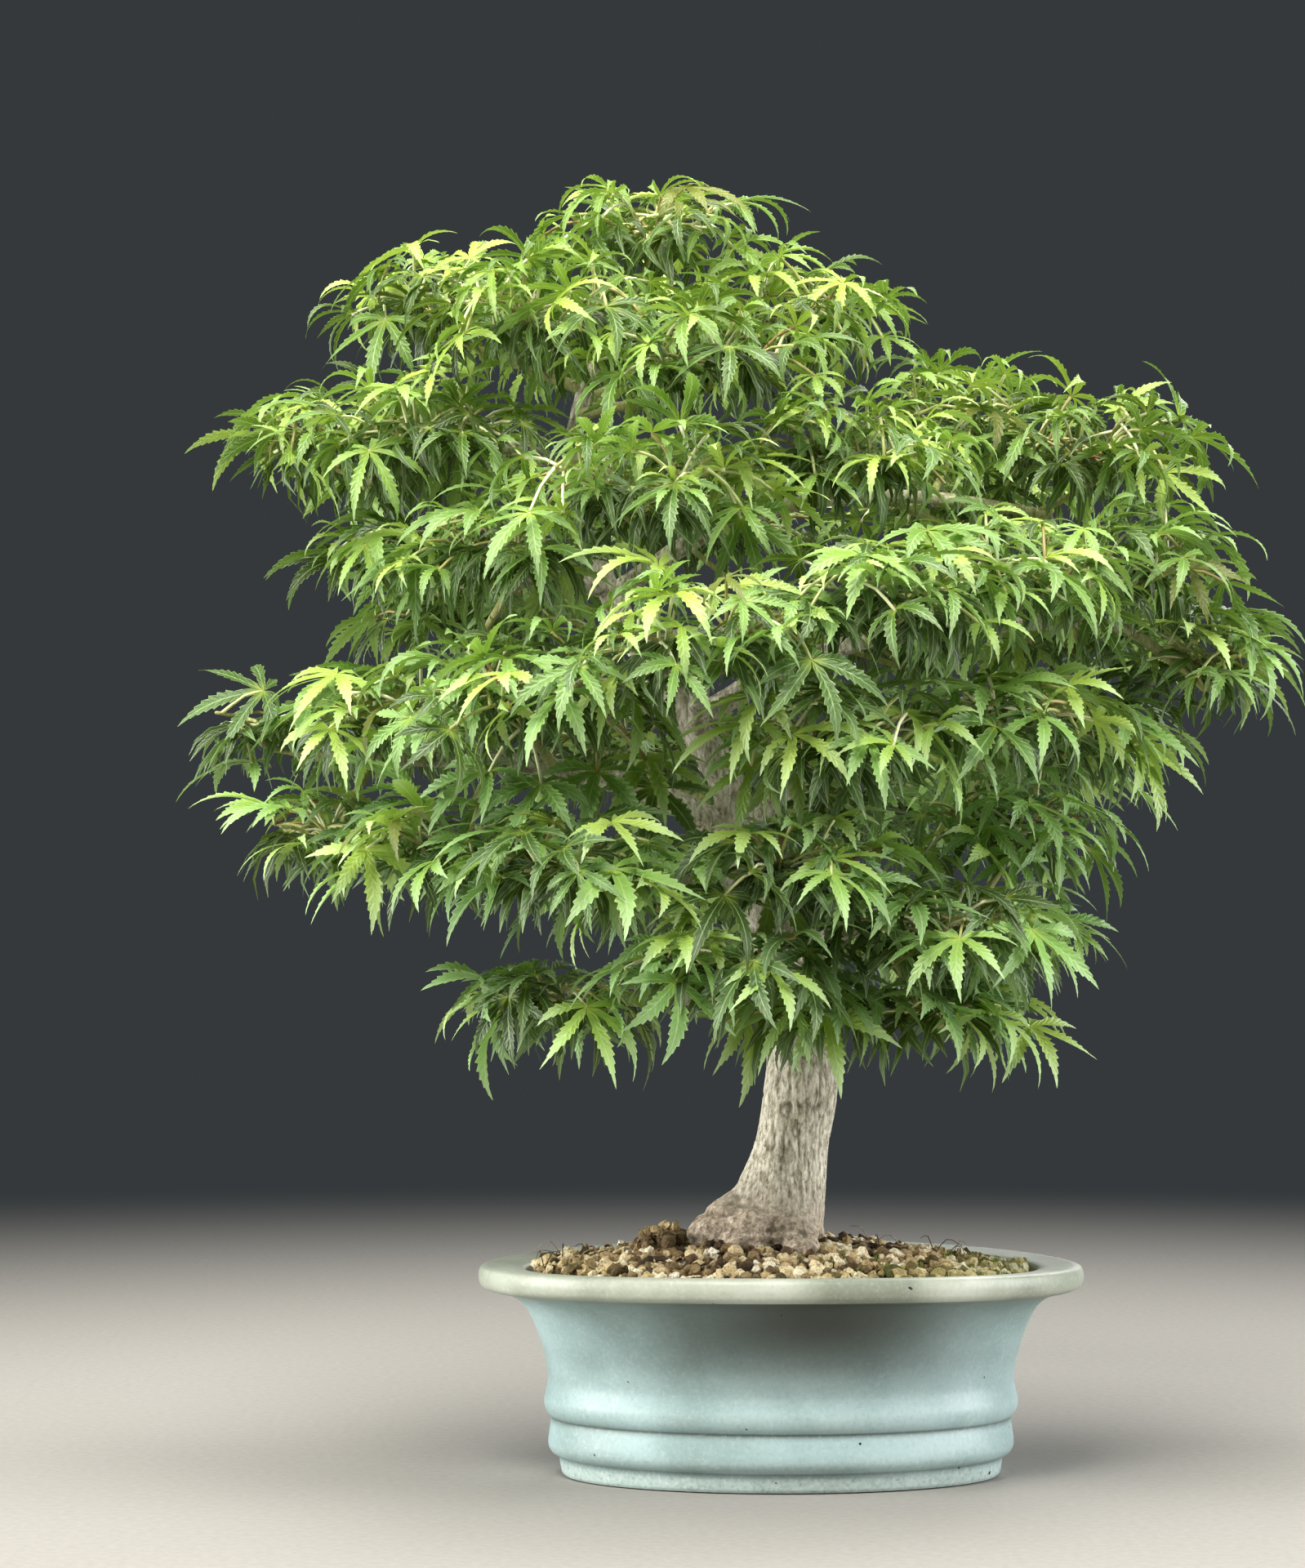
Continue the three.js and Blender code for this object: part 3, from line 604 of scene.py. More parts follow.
crumb_kinds = [lumpy(kind, 0.55) for kind in range(CRUMB_KINDS)]
print("crumb templates:", CRUMB_KINDS, "of", len(ball_faces), "faces")


# %% Turning small meshes and heaping them into one
def turned(points, turns):
    """Points turned about the three axes by turns in radians."""
    spin = Matrix.Rotation(turns[0], 3, "X") @ Matrix.Rotation(turns[1], 3, "Y")
    spin = spin @ Matrix.Rotation(turns[2], 3, "Z")
    return points @ np.array(spin).T


class Heap:
    """Collects many small meshes and their marks, to be made into one piece."""

    def __init__(self, marks):
        """An empty heap, with the names of the marks that its meshes carry."""
        self.points, self.faces, self.finish_of, self.count = [], [], [], 0
        self.marks = {mark: [] for mark in marks}

    def put(self, points, faces, finish=0, **marks):
        """Adds one mesh; a mark is one number for all its points, or one for each."""
        self.points.append(points)
        self.faces.extend([tuple(i + self.count for i in face) for face in faces])
        self.finish_of.extend([finish] * len(faces))
        self.count += len(points)
        for mark, values in marks.items():
            self.marks[mark].append(np.broadcast_to(values, len(points)))

    def make(self, name, finishes, slot, replaced=()):
        """Makes the piece from all that was put in."""
        marks = {mark: np.concatenate(values) for mark, values in self.marks.items()}
        points = np.vstack(self.points)
        return make_piece(
            name, points, self.faces, finishes, replaced, marks, self.finish_of
        )


print("a quarter turn about z takes x to", turned(np.eye(3)[0], [0, 0, math.pi / 2]).round(3))

# %% Laying the crumbs
CRUMB_SPACING = 3.4
ROW_SHARE = 0.866  # rows stand closer than crumbs in a row, as each lies between two others
CRUMB_JITTER = 1.5
CRUMB_LEAST, CRUMB_MORE = 1.35, 1.75  # the least radius, and how much more some have
CRUMB_AREA_HALF = 85.2
TRUNK_CLEAR = 15.0
CRUMB_PATCH = (17, 13)  # size of the patches in which crumbs are lighter or darker
ALGAE_FROM, ALGAE_FULL = 0.62, 0.98  # shares of the way from the middle to the rim

crumbs = Heap(["tint", "algae"])
draw = seeded(7)
columns = int(2 * CRUMB_AREA_HALF / CRUMB_SPACING) + 2
rows = int(2 * (CRUMB_AREA_HALF - POT_DEPTH_LESS) / (CRUMB_SPACING * ROW_SHARE)) + 2
for row in range(rows):
    for column in range(columns):
        x = (column + 0.5 * (row % 2) - columns / 2) * CRUMB_SPACING
        x += CRUMB_JITTER * (draw() - 0.5)
        y = (row - rows / 2) * CRUMB_SPACING * ROW_SHARE + CRUMB_JITTER * (draw() - 0.5)
        size = CRUMB_LEAST + CRUMB_MORE * draw() ** 1.6
        lift, tint, kind = draw(), draw(), int(draw() * CRUMB_KINDS)
        turns = [2 * math.pi * draw() for _ in range(3)]
        room = CRUMB_AREA_HALF - size
        if math.hypot(x / room, y / (room - POT_DEPTH_LESS)) > 1:
            continue
        if math.hypot((x - TRUNK_X) / 1.25, y) < TRUNK_CLEAR:
            continue
        height = soil_top(x, y) - 0.35 + 1.8 * (lift - 0.35)
        patch = noise.noise(Vector((x / CRUMB_PATCH[0], y / CRUMB_PATCH[1], 4.2)))
        shade = min(1, max(0, 0.5 + 0.4 * patch + 0.95 * (tint - 0.5)))
        far = math.hypot(x / 84, y / 59)
        edge = float(share_between(far, ALGAE_FROM, ALGAE_FULL))
        green = edge * (0.2 + 0.8 * float(share_between(x, -10, 60)))  # more at the right
        body = turned(crumb_kinds[kind], turns) * size + [x, y, height]
        crumbs.put(body, ball_faces, tint=shade, algae=min(1, green))
grit_piece = crumbs.make("grit_crumbs", [grit], "grit")
facets(grit_piece)
print("crumbs:", triangles_of(grit_piece) // len(ball_faces))

# %% [markdown]
# ## Bark
# Maple bark stays thin: pale grey-tan skin that splits into fine upright cracks as the trunk
# thickens, browner and grainier at the foot where the soil keeps it damp. Twigs are still
# green. Cracks deep enough to shade are in the mesh, and their depth is kept on its points, so
# that the same cracks are dark in the colour, partly the bark's own darker inside and partly
# painted shade; the hollows of the foot get painted shade too. The fine grain between them is
# left to bump.


# %% The bark's finish
def maple_bark():
    """Dull pale skin with upright streaks, damp and brown at the foot, green on young shoots."""
    finish, tree = new_finish("maple_bark")
    where = add(tree, "TexCoord", out="Object")
    foot, fissure, young = [
        add(tree, "Attribute", out="Fac", attribute_name=mark)
        for mark in ("foot", "fissure", "young")
    ]
    upright = add(tree, "Mapping", {"Vector": where, "Scale": (1, 1, 0.3)})
    streak_size = {"Vector": upright, "Scale": per_mm(1.3), "Detail": 6.0, "Roughness": 0.72}
    streaks = add(tree, "TexNoise", streak_size)
    speckle_size = {"Vector": where, "Scale": per_mm(1.9), "Detail": 6.0, "Roughness": 0.75}
    speckles = add(tree, "TexNoise", speckle_size)
    dry = [(0.35, "#746b57"), (0.44, "#b9b099"), (0.54, "#e6dfcb"), (0.66, "#fdf9ee")]
    damp = [(0.34, "#5a4d41"), (0.45, "#9c8b78"), (0.57, "#cebda7"), (0.7, "#f8eede")]
    colour = add(tree, "ValToRGB", {"Fac": streaks}, stops=dry)
    coats = [
        (foot, add(tree, "ValToRGB", {"Fac": speckles}, stops=damp)),
        # dark cracks: partly the bark's own darker inside, partly painted shade; painted shade in the
        # foot's hollows
        (fissure, "#5d5441"),
        (young, add(tree, "ValToRGB", {"Fac": streaks}, stops=[(0.3, "#7b7d40"), (0.7, "#c8c886")])),
    ]
    for share, tone in coats:
        colour = add(tree, "Mix", {0: share, 6: colour, 7: tone}, **COLOUR_MIX)
    both = add(tree, "Math", {0: streaks, 1: speckles}, operation="ADD")
    grain = add(tree, "Bump", {"Strength": 0.8, "Distance": 0.5 * MM, "Height": both})
    looks = {"Base Color": colour, "Roughness": 0.82, "Specular IOR Level": 0.3, "Normal": grain}
    add(tree, "OutputMaterial", {"Surface": add(tree, "BsdfPrincipled", looks)})
    return finish


bark = maple_bark()
print("made", bark.name)

# %% [markdown]
# ## The lines of the tree
# A bonsai is drawn by its lines: where the trunk bends, and where each branch leaves it and
# how it thins. A tree generator would grow one like it, but not this one, so its lines are
# written down. Each row is a place in millimetres from the middle of the pot's foot, with the
# wood's radius there. They are nearly the CAD model's own lines, so the wood fills the same
# space. A spray is the cushion of leaves on one twig.

# %% Trunk, roots and branches as lines
ROOTS = [
    [[-3, 0, 96, 7], [-16, -2, 84, 10.2], [-26, -3, 76, 8.8], [-37, -5, 64, 6]],
    [[-2, -4, 92, 9], [-12, -14, 79, 7.5], [-21, -24, 66, 5]],
    [[2, -4, 92, 8], [6, -15, 79, 6.5], [10, -26, 66, 5]],
    [[4, 4, 90, 7.6], [8, 13, 78, 6], [13, 23, 65, 5]],
    [[-4, 4, 92, 9], [-9, 16, 79, 7], [-13, 29, 66, 5]],
]
LIMBS = {
    "trunk": [
        [-4, 0, 52, 21], [-4, 0, 70, 19.6], [-2.6, 0, 84, 17.6], [0.9, 0, 97, 14.6],
        [4, 0, 112, 12.2], [6.6, 0, 130, 12.3], [6.4, 1, 143, 11.4], [2.6, 2, 161, 9.8],
        [-3.4, 1, 181, 8.8], [-9, -1, 198, 8], [-13.6, -2, 217, 6.9], [-18.5, -2, 234, 6],
        [-30, -1, 253, 5.3], [-46, 2, 276, 4.7], [-56, 3, 294, 4.2], [-66, 2, 318, 3.6],
        [-70, 0, 342, 3.2], [-67, 0, 364, 2.7], [-57, 0, 386, 2.1], [-48, 0, 402, 1.6],
    ],
    "lowest_left": [[4, 0, 152, 4], [-16, -18, 160, 3.4], [-44, -38, 162, 2.6], [-70, -54, 157, 1.8]],
    "lowest_right": [[0, 0, 170, 4.6], [22, -14, 184, 4], [48, -26, 192, 3], [70, -26, 190, 2]],
    "lowest_back": [[1, 2, 162, 4], [-2, 26, 170, 3.2], [0, 48, 172, 2.2]],
    "low_front": [[-8, 0, 196, 3.6], [-24, -36, 202, 3], [-42, -72, 200, 2.2], [-66, -86, 202, 1.7]],
    "low_left": [
        [-13, 0, 214, 4.6], [-44, -12, 230, 4], [-84, -22, 239, 3.2], [-126, -22, 241, 2.4],
        [-158, -10, 242, 1.7],
    ],
    "low_right": [[-14, 0, 218, 4.4], [16, -3, 236, 3.6], [50, 2, 245, 2.9], [92, 6, 244, 1.9]],
    "low_back": [[-13, 0, 214, 4.2], [-12, 34, 222, 3.4], [-8, 70, 226, 2.4], [0, 92, 226, 1.8]],
    "mid_front": [[-28, 0, 250, 3.8], [-28, -38, 266, 3.1], [-24, -76, 272, 2.4], [-20, -100, 270, 1.8]],
    "mid_right": [
        [-30, 0, 254, 4.2], [2, -14, 272, 3.6], [38, -24, 283, 3], [78, -20, 286, 2.5],
        [112, -10, 286, 2], [136, -2, 272, 1.6],
    ],
    "mid_back": [[-46, 2, 276, 3.8], [-34, 38, 284, 3.1], [-12, 70, 288, 2.4], [8, 88, 296, 1.8]],
    "mid_left": [[-58, 3, 299, 3.4], [-80, -14, 301, 2.8], [-100, -24, 299, 2.2], [-122, -14, 302, 1.7]],
    "high_right": [
        [-57, 3, 297, 3.6], [-26, -2, 317, 3], [10, -8, 328, 2.6], [50, 0, 330, 2.2], [92, 0, 324, 1.7],
    ],
    "high_left": [[-70, 0, 337, 3], [-88, -2, 346, 2.6], [-112, -4, 344, 2.2], [-142, -1, 334, 1.7]],
}
print("limbs:", len(LIMBS), "roots:", len(ROOTS))

# %% Sprays of leaves
# name, middle of the dome, its half length, half width and height, its limb, place along it
SPRAYS = [
    ["crown_top", [-44, -2, 418], [34, 32, 22], "trunk", 0.97],
    ["crown_left", [-116, 4, 392], [32, 32, 22], "trunk", 0.9],
    ["crown_right", [6, -4, 388], [32, 34, 23], "trunk", 0.91],
    ["crown_front_left", [-76, -46, 382], [39, 30, 24], "trunk", 0.93],
    ["crown_front_right", [-26, -58, 368], [36, 30, 24], "trunk", 0.88],
    ["crown_back", [-50, 54, 384], [40, 34, 26], "trunk", 0.89],
    ["high_left_tip", [-150, 0, 346], [32, 32, 22], "high_left", 0.98],
    ["high_left_front", [-116, -40, 345], [34, 28, 24], "high_left", 0.62],
    ["high_left_back", [-122, 50, 343], [38, 34, 26], "high_left", 0.55],
    ["high_front", [-49, -82, 322], [42, 32, 27], "trunk", 0.84],
    ["high_right_near", [20, -52, 336], [40, 34, 26], "high_right", 0.45],
    ["high_right_top", [60, 14, 354], [36, 32, 24], "high_right", 0.76],
    ["high_right_tip", [106, 0, 342], [32, 32, 24], "high_right", 0.97],
    ["high_right_back", [66, 68, 330], [40, 34, 25], "high_right", 0.66],
    ["high_back", [-28, 88, 326], [44, 36, 27], "mid_back", 0.9],
    ["mid_left_tip", [-126, -12, 310], [26, 26, 12], "mid_left", 0.92],
    ["mid_left_front", [-92, -56, 306], [34, 28, 22], "mid_left", 0.6],
    ["mid_left_back", [-104, 72, 292], [42, 36, 26], "mid_left", 0.5],
    ["mid_front", [-28, -114, 272], [42, 32, 27], "mid_front", 0.97],
    ["mid_right_front", [30, -100, 288], [37, 32, 26], "mid_right", 0.35],
    ["mid_right_middle", [72, -64, 295], [37, 32, 26], "mid_right", 0.56],
    ["mid_right_outer", [118, -10, 303], [32, 34, 25], "mid_right", 0.8],
    ["mid_right_tip", [144, 0, 272], [22, 30, 24], "mid_right", 0.98],
    ["mid_right_back", [108, 64, 286], [40, 34, 25], "mid_right", 0.72],
    ["mid_back_right", [48, 104, 284], [40, 32, 25], "mid_back", 0.8],
    ["low_left_tip", [-173, 0, 251], [33, 34, 21], "low_left", 0.98],
    ["low_left_front", [-131, -42, 252], [36, 30, 24], "low_left", 0.7],
    ["low_left_middle", [-84, -84, 256], [40, 32, 26], "low_left", 0.45],
    ["low_left_back", [-134, 52, 250], [38, 34, 23], "low_left", 0.64],
    ["low_middle", [14, -96, 244], [34, 30, 24], "low_right", 0.3],
    ["low_right_tip", [98, 8, 249], [32, 34, 21], "low_right", 0.97],
    ["low_right_front", [72, -66, 252], [33, 28, 18], "low_right", 0.62],
    ["low_right_back", [92, 66, 240], [38, 34, 23], "low_right", 0.7],
    ["low_back_left", [-50, 102, 242], [42, 36, 26], "low_back", 0.75],
    ["low_back_right", [28, 96, 226], [42, 36, 25], "low_back", 0.95],
    ["hanging_left_tip", [-152, -22, 214], [33, 28, 18], "low_left", 0.83],
    ["hanging_left_front", [-112, -60, 208], [33, 28, 20], "low_left", 0.57],
    ["hanging_middle", [-72, -92, 204], [33, 28, 22], "low_front", 0.97],
    ["lower_middle", [2, -86, 202], [34, 28, 22], "lowest_right", 0.3],
    ["lower_right_outer", [74, -26, 214], [32, 34, 24], "lowest_right", 0.9],
    ["lower_right_front", [44, -78, 182], [34, 28, 20], "lowest_right", 0.6],
    ["lower_right_side", [70, -18, 182], [30, 32, 17], "lowest_right", 0.97],
    ["lower_back_left", [-38, 64, 194], [36, 32, 22], "lowest_back", 0.6],
    ["lower_back_right", [30, 58, 180], [36, 32, 21], "lowest_back", 0.97],
    ["lowest_right", [50, -48, 157], [30, 28, 14], "lowest_right", 0.42],
    ["lowest_left", [-76, -60, 160], [30, 28, 14], "lowest_left", 0.97],
    ["lowest_front", [-24, -86, 172], [32, 26, 18], "lowest_left", 0.3],
    ["trunk_front", [6, -52, 158], [24, 22, 16], "trunk", 0.38],
]
print("sprays:", len(SPRAYS))

# %% [markdown]
# ## Trunk and roots
# The trunk and its surface roots have grown into one body, with soft hollows between. Tubes
# that only cross would show hard seams there. So thick tubes are laid over each other, a
# voxel remesh melts them into one skin with faces of 0.76 mm, and a little smoothing rounds
# the seams. Each low limb lends it a collar, the swelling where a limb leaves a trunk.


# %% Tubes along lines
def tube(line, sides, step, swell=None):
    """Rings of points round a smooth line of [x, y, z, radius], about step millimetres apart."""
    rows = np.asarray(line, float)
    length = np.linalg.norm(np.diff(rows[:, :3], axis=0), axis=1).sum()
    parts = max(2, round(length / step / (len(rows) - 1)))
    path = smooth_run(rows, parts)
    middles, radii = path[:, :3], path[:, 3]
    ways = np.gradient(middles, axis=0)
    ways /= np.linalg.norm(ways, axis=1)[:, None]
    across = np.array([0.0, 1.0, 0.0])
    turns = 2 * np.pi * np.arange(sides) / sides
    rings = []
    for middle, way, radius in zip(middles, ways, radii):
        across = across - way * (across @ way)
        across /= np.linalg.norm(across)
        other = np.cross(way, across)
        round_it = np.outer(np.cos(turns), across) + np.outer(np.sin(turns), other)
        wide = np.full(sides, radius) if swell is None else radius * swell(middle, round_it)
        rings.append(middle + round_it * wide[:, None])
    return np.vstack(rings), ring_faces(len(rings), sides), np.repeat(radii, sides)


def part_of(line, share):
    """The first share of a line, as rows of its own."""
    rows = smooth_run(line, 8)
    return rows[: max(3, round(share * len(rows)))]


print("points of the first root's tube:", len(tube(ROOTS[0], 24, 2.0)[0]))

# %% One skin for the trunk and its roots
SOLID_TRUNK_ROWS = 13
COLLARED = ["lowest_left", "lowest_right", "lowest_back", "low_front", "low_left", "low_right"]
COLLARED += ["low_back"]
COLLAR_SHARE = 0.26  # of its limb's length
COLLAR_WIDER, COLLAR_END = 1.25, 0.94  # times the limb's own radius
VOXEL = 0.76  # finer than the furrows, and coarse enough to stay light

body = Heap([])
body.put(*tube(LIMBS["trunk"][:SOLID_TRUNK_ROWS], 40, 2.0)[:2])
for root in ROOTS:
    body.put(*tube(root, 24, 2.0)[:2])
for limb in COLLARED:
    collar = part_of(LIMBS[limb], COLLAR_SHARE)
    collar[:, 3] *= np.linspace(COLLAR_WIDER, COLLAR_END, len(collar))
    body.put(*tube(collar, 20, 1.5)[:2])
trunk = body.make("trunk_and_roots", [bark], "bark")
melt = trunk.modifiers.new("melt the tubes together", "REMESH")
melt.mode = "VOXEL"
melt.voxel_size = VOXEL * MM
ease = trunk.modifiers.new("ease the seams", "SMOOTH")
ease.factor = 0.5
ease.iterations = 7
apply_modifiers(trunk)
print("trunk and roots:", triangles_of(trunk), "triangles")

# %% [markdown]
# The bark is then pressed into that skin along its normals. The cracks come from noise that
# is stretched upright, with features 1.5 mm wide and 7 mm long. It crosses zero along thin
# winding lines, and those lines are the cracks. Wider noise makes the furrows, wider still the
# muscle-like flutes, and rounder grain, lumps and wrinkles roughen the foot.

# %% The relief of the bark
SCAR_AT = (4.5, 124.5)  # x and height of an old pruning scar on the front
SCAR_HALF = (7.5, 1.3)
FOOT_LOW, FOOT_HIGH = 82, 102  # the heights between which the foot's bark gives way
SLIM_LOW, SLIM_HIGH = 168, 230  # the heights between which the relief grows shallow


def noise_at(points, sizes, shift=0.0):
    """Smooth noise from -1 to 1 at each point, with features of sizes millimetres."""
    scaled = points / np.asarray(sizes, float) + shift
    return np.array([noise.noise(Vector(p)) for p in scaled])


def pressed_bark(points):
    """How far each point moves out, how dark it is painted in cracks and hollows, and how much it is of
    the foot.
    """
    height = points[:, 2]
    foot = 1 - share_between(height + 0.25 * points[:, 0], FOOT_LOW, FOOT_HIGH)
    warp = noise_at(points, (9, 9, 22), 3.1)[:, None] * [2.2, 2.2, 0]
    fine = noise_at(points + warp, (1.5, 1.5, 7), 8.7)
    crack = 1 - share_between(np.abs(fine), 0.02, 0.2)
    wide = noise_at(points + warp, (3.8, 3.8, 24), 1.9)
    furrow = 1 - share_between(np.abs(wide), 0.0, 0.12)
    wrinkles = noise_at(points, (15, 15, 2.2), 7.6)
    flutes = noise_at(points, (9, 9, 46), 5.3)
    grain = noise_at(points, (2.6, 2.6, 2.2), 2.2)
    lumps = noise_at(points, (5.5, 5.5, 4.2), 6.4)
    upper = 1 - foot
    scar_x = (points[:, 0] - SCAR_AT[0]) / SCAR_HALF[0]
    scar_z = (height - SCAR_AT[1] - 0.8 * np.sin(points[:, 0])) / SCAR_HALF[1]
    scar = np.exp(-(scar_x**2) - scar_z**2) * (points[:, 1] < -6)
    scar *= share_between(grain, -0.35, 0.1)
    out = (
        0.75 * flutes
        - 0.42 * crack * (0.35 + 0.65 * upper)
        - 0.36 * furrow * upper
        + (0.4 * grain + 0.7 * lumps + 0.6 * wrinkles) * foot
        - 0.9 * scar
    )
    slim = share_between(height, SLIM_LOW, SLIM_HIGH)
    # Cracks, furrows and the scar are painted darker, partly the bark's own colour and partly shade; the
    # foot's hollows get painted shade
    deep = np.clip(0.5 * crack * upper + 0.34 * furrow * upper + 1.3 * scar, 0, 1)
    dark = np.clip(deep + foot * share_between(-grain - 0.7 * lumps - wrinkles, 0.2, 0.8), 0, 1)
    return out * (1 - 0.6 * slim), 0.85 * dark * (1 - 0.4 * slim), foot


front = np.array([[SCAR_AT[0], -12.0, height] for height in (90, 105, 120, 150)])
print("the bark moves the trunk's front by, mm:", pressed_bark(front)[0].round(2))


# %% Pressing it into the trunk
def read_points(piece):
    """A piece's points in the maker's millimetres, and its normals."""
    flat = np.empty(3 * len(piece.data.vertices))
    piece.data.vertices.foreach_get("co", flat)
    normals = np.empty_like(flat)
    piece.data.vertices.foreach_get("normal", normals)
    return flat.reshape(-1, 3) / MM - POT_AT, normals.reshape(-1, 3)


skin_points, skin_normals = read_points(trunk)
out, dark, foot = pressed_bark(skin_points)
skin_points = skin_points + skin_normals * out[:, None]
skin_faces = [tuple(face.vertices) for face in trunk.data.polygons]
bpy.data.objects.remove(trunk)

wood = Heap(["fissure", "foot", "young"])
wood.put(skin_points, skin_faces, fissure=dark, foot=foot, young=0.0)
print("pressed the bark into", len(skin_points), "points; deepest, mm:", round(-out.min(), 2))

# %% [markdown]
# ## Branches, twigs and shoots
# Limbs are tubes that swell where buds and old leaf scars were. Each spray has a twig that
# leaves its limb with a slight rise and droop, and seven short shoots that spread from the
# twig's end into the dome of leaves. Thin wood is green, and thick wood has cracks. Blender's
# Skin modifier could thicken the lines too, but tubes keep each radius as it was measured.


# %% Limbs
TWIG_FROM, TWIG_TO = 1.3, 2.9  # radii: all green below the first, all bark above the second


def knobbly(middle, round_it):
    """Small swellings along a branch, where buds and old leaf scars were."""
    bumps = noise_at(middle + 3.0 * round_it, (2.4, 2.4, 2.4), 4.4)
    return 1 + 0.13 * bumps


def youth(radii):
    """1 on green twigs, 0 on old wood."""
    return 1 - share_between(radii, TWIG_FROM, TWIG_TO)


for name, line in LIMBS.items():
    if name == "trunk":
        line = line[SOLID_TRUNK_ROWS - 2 :]
    points, faces, radii = tube(line, 14, 2.2, knobbly)
    cracks = 0.6 * (1 - share_between(np.abs(noise_at(points, (1.6, 1.6, 4), 9.1)), 0.05, 0.3))
    wood.put(points, faces, fissure=cracks * (1 - youth(radii)), foot=0.0, young=youth(radii))
print("limbs:", ", ".join(LIMBS))

# %% Twigs and shoots
GOLDEN_TURN = 2.39996  # radians from one shoot or leaf to the next, as plants set them
TWIG_TIP = 1.1
TWIG_THICK = (1.5, 2.2)  # least and greatest radius where a twig leaves its limb
TWIG_BEND = 3.0  # how far it swings to one side at most
SHOOTS = 7


def along(line, share):
    """The place and radius at a share of the way along a line."""
    rows = smooth_run(line, 12)
    place = share * (len(rows) - 1)
    i = min(int(place), len(rows) - 2)
    row = rows[i] + (rows[i + 1] - rows[i]) * (place - i)
    return row[:3], row[3]


def hub_of(spray):
    """Where the twig of a spray ends and its shoots begin."""
    middle, half = spray[1:3]
    return np.array(middle, float) - [0, 0, 0.3 * half[2]]


def twig_line(spray):
    """A spray's twig, with the slight rise and droop that a grown twig has."""
    carrier, place = spray[3:]
    start, radius = along(LIMBS[carrier], place)
    thick = min(max(0.8 * radius, TWIG_THICK[0]), TWIG_THICK[1])
    hub = hub_of(spray)
    bend = noise.noise(Vector(start / 20)) * TWIG_BEND
    sideways = np.cross(hub - start, [0, 0, 1.0])
    sideways /= np.linalg.norm(sideways) + 1e-6
    third = start + 0.35 * (hub - start) + bend * sideways
    later = start + 0.7 * (hub - start) - 0.6 * bend * sideways
    return [[*start, thick], [*third, 0.8 * thick], [*later, 0.65 * thick], [*hub, TWIG_TIP]]


def shoots_of(spray, index):
    """The short shoots that spread from the end of a spray's twig."""
    draw = seeded(1000 + index)
    middle, half = np.array(spray[1], float), np.array(spray[2], float)
    hub = hub_of(spray)
    lines = []
    for i in range(SHOOTS):
        turn = i * GOLDEN_TURN + draw()
        reach = 0.5 + 0.3 * draw()
        dome = np.array([reach * math.cos(turn), reach * math.sin(turn), 0.6 * draw()])
        tip = middle + half * dome
        bow = 0.5 * (hub + tip) + np.array([0, 0, 2 + 3 * draw()])
        lines.append([[*hub, 0.9], [*bow, 0.75], [*tip, 0.55]])
    return lines


for index, spray in enumerate(SPRAYS):
    points, faces, radii = tube(twig_line(spray), 8, 2.5, knobbly)
    wood.put(points, faces, fissure=0.0, foot=0.0, young=youth(0.8 * radii))
    for line in shoots_of(spray, index):
        points, faces, _ = tube(line, 5, 5.0)
        wood.put(points, faces, fissure=0.0, foot=0.0, young=1.0)
wood_piece = wood.make("bark_and_wood", [bark], "bark", ["trunk_and_branches"])
print("wood:", triangles_of(wood_piece), "triangles")

# %% [markdown]
# ## What lies on the soil
# A potted tree's soil is never clean. Older, darker lumps cling to the root at the left, bits
# of bark and rotted leaf lie right of the trunk, dead root threads stick up at the rim, and
# moss starts where it stays damp. They are small, but without them the soil looks new. All but
# the clump share one mesh with three finishes, because none of them is a piece of its own.


# %% Finishes of the scraps
def rough_finish(name, dark, light, size, roughness):
    """A dull surface of two mixed colours, in patches of size millimetres."""
    finish, tree = new_finish(name)
    where = add(tree, "TexCoord", out="Object")
    patch_size = {"Vector": where, "Scale": per_mm(size), "Detail": 4.0, "Roughness": 0.65}
    patches = add(tree, "TexNoise", patch_size)
    colour = add(tree, "ValToRGB", {"Fac": patches}, stops=[(0.36, dark), (0.64, light)])
    relief = add(tree, "Bump", {"Strength": 0.6, "Distance": 0.4 * MM, "Height": patches})
    looks = {"Roughness": roughness, "Specular IOR Level": 0.25, "Normal": relief}
    surface = add(tree, "BsdfPrincipled", {"Base Color": colour, **looks})
    add(tree, "OutputMaterial", {"Surface": surface})
    return finish


scrap_finishes = [
    # Rotted leaf and bark: dark brown, crumbly and quite matt
    rough_finish("humus", "#1d1812", "#57432c", 1.4, 0.9),
    # Dried root threads: the colour of straw, a little smoother
    rough_finish("dead_roots", "#6d5538", "#c9b48c", 3.0, 0.7),
    # Moss is all tiny leaves: matt, in greens that change every millimetre
    rough_finish("moss", "#3b4a17", "#8d9c3f", 1.1, 0.85),
]
print("made", [finish.name for finish in scrap_finishes])

# %% The clump of old soil
CLUMP_AT = (-40.5, -3.0)
CLUMP_SPREAD = (10, 11)
CLUMP_HIGH = 7.0
CLUMP_LUMPS = 60
PALER_FROM, PALER_FULL = 80, 84  # heights between which its lumps grow paler


def soil_place(middle, spread, draw):
    """A place on the soil near a middle: x, y and the soil's height there."""
    turn, far = 2 * math.pi * draw(), draw() ** 0.6
    x = middle[0] + spread[0] * far * math.cos(turn)
    y = middle[1] + spread[1] * far * math.sin(turn)
    return np.array([x, y, soil_top(x, y)])


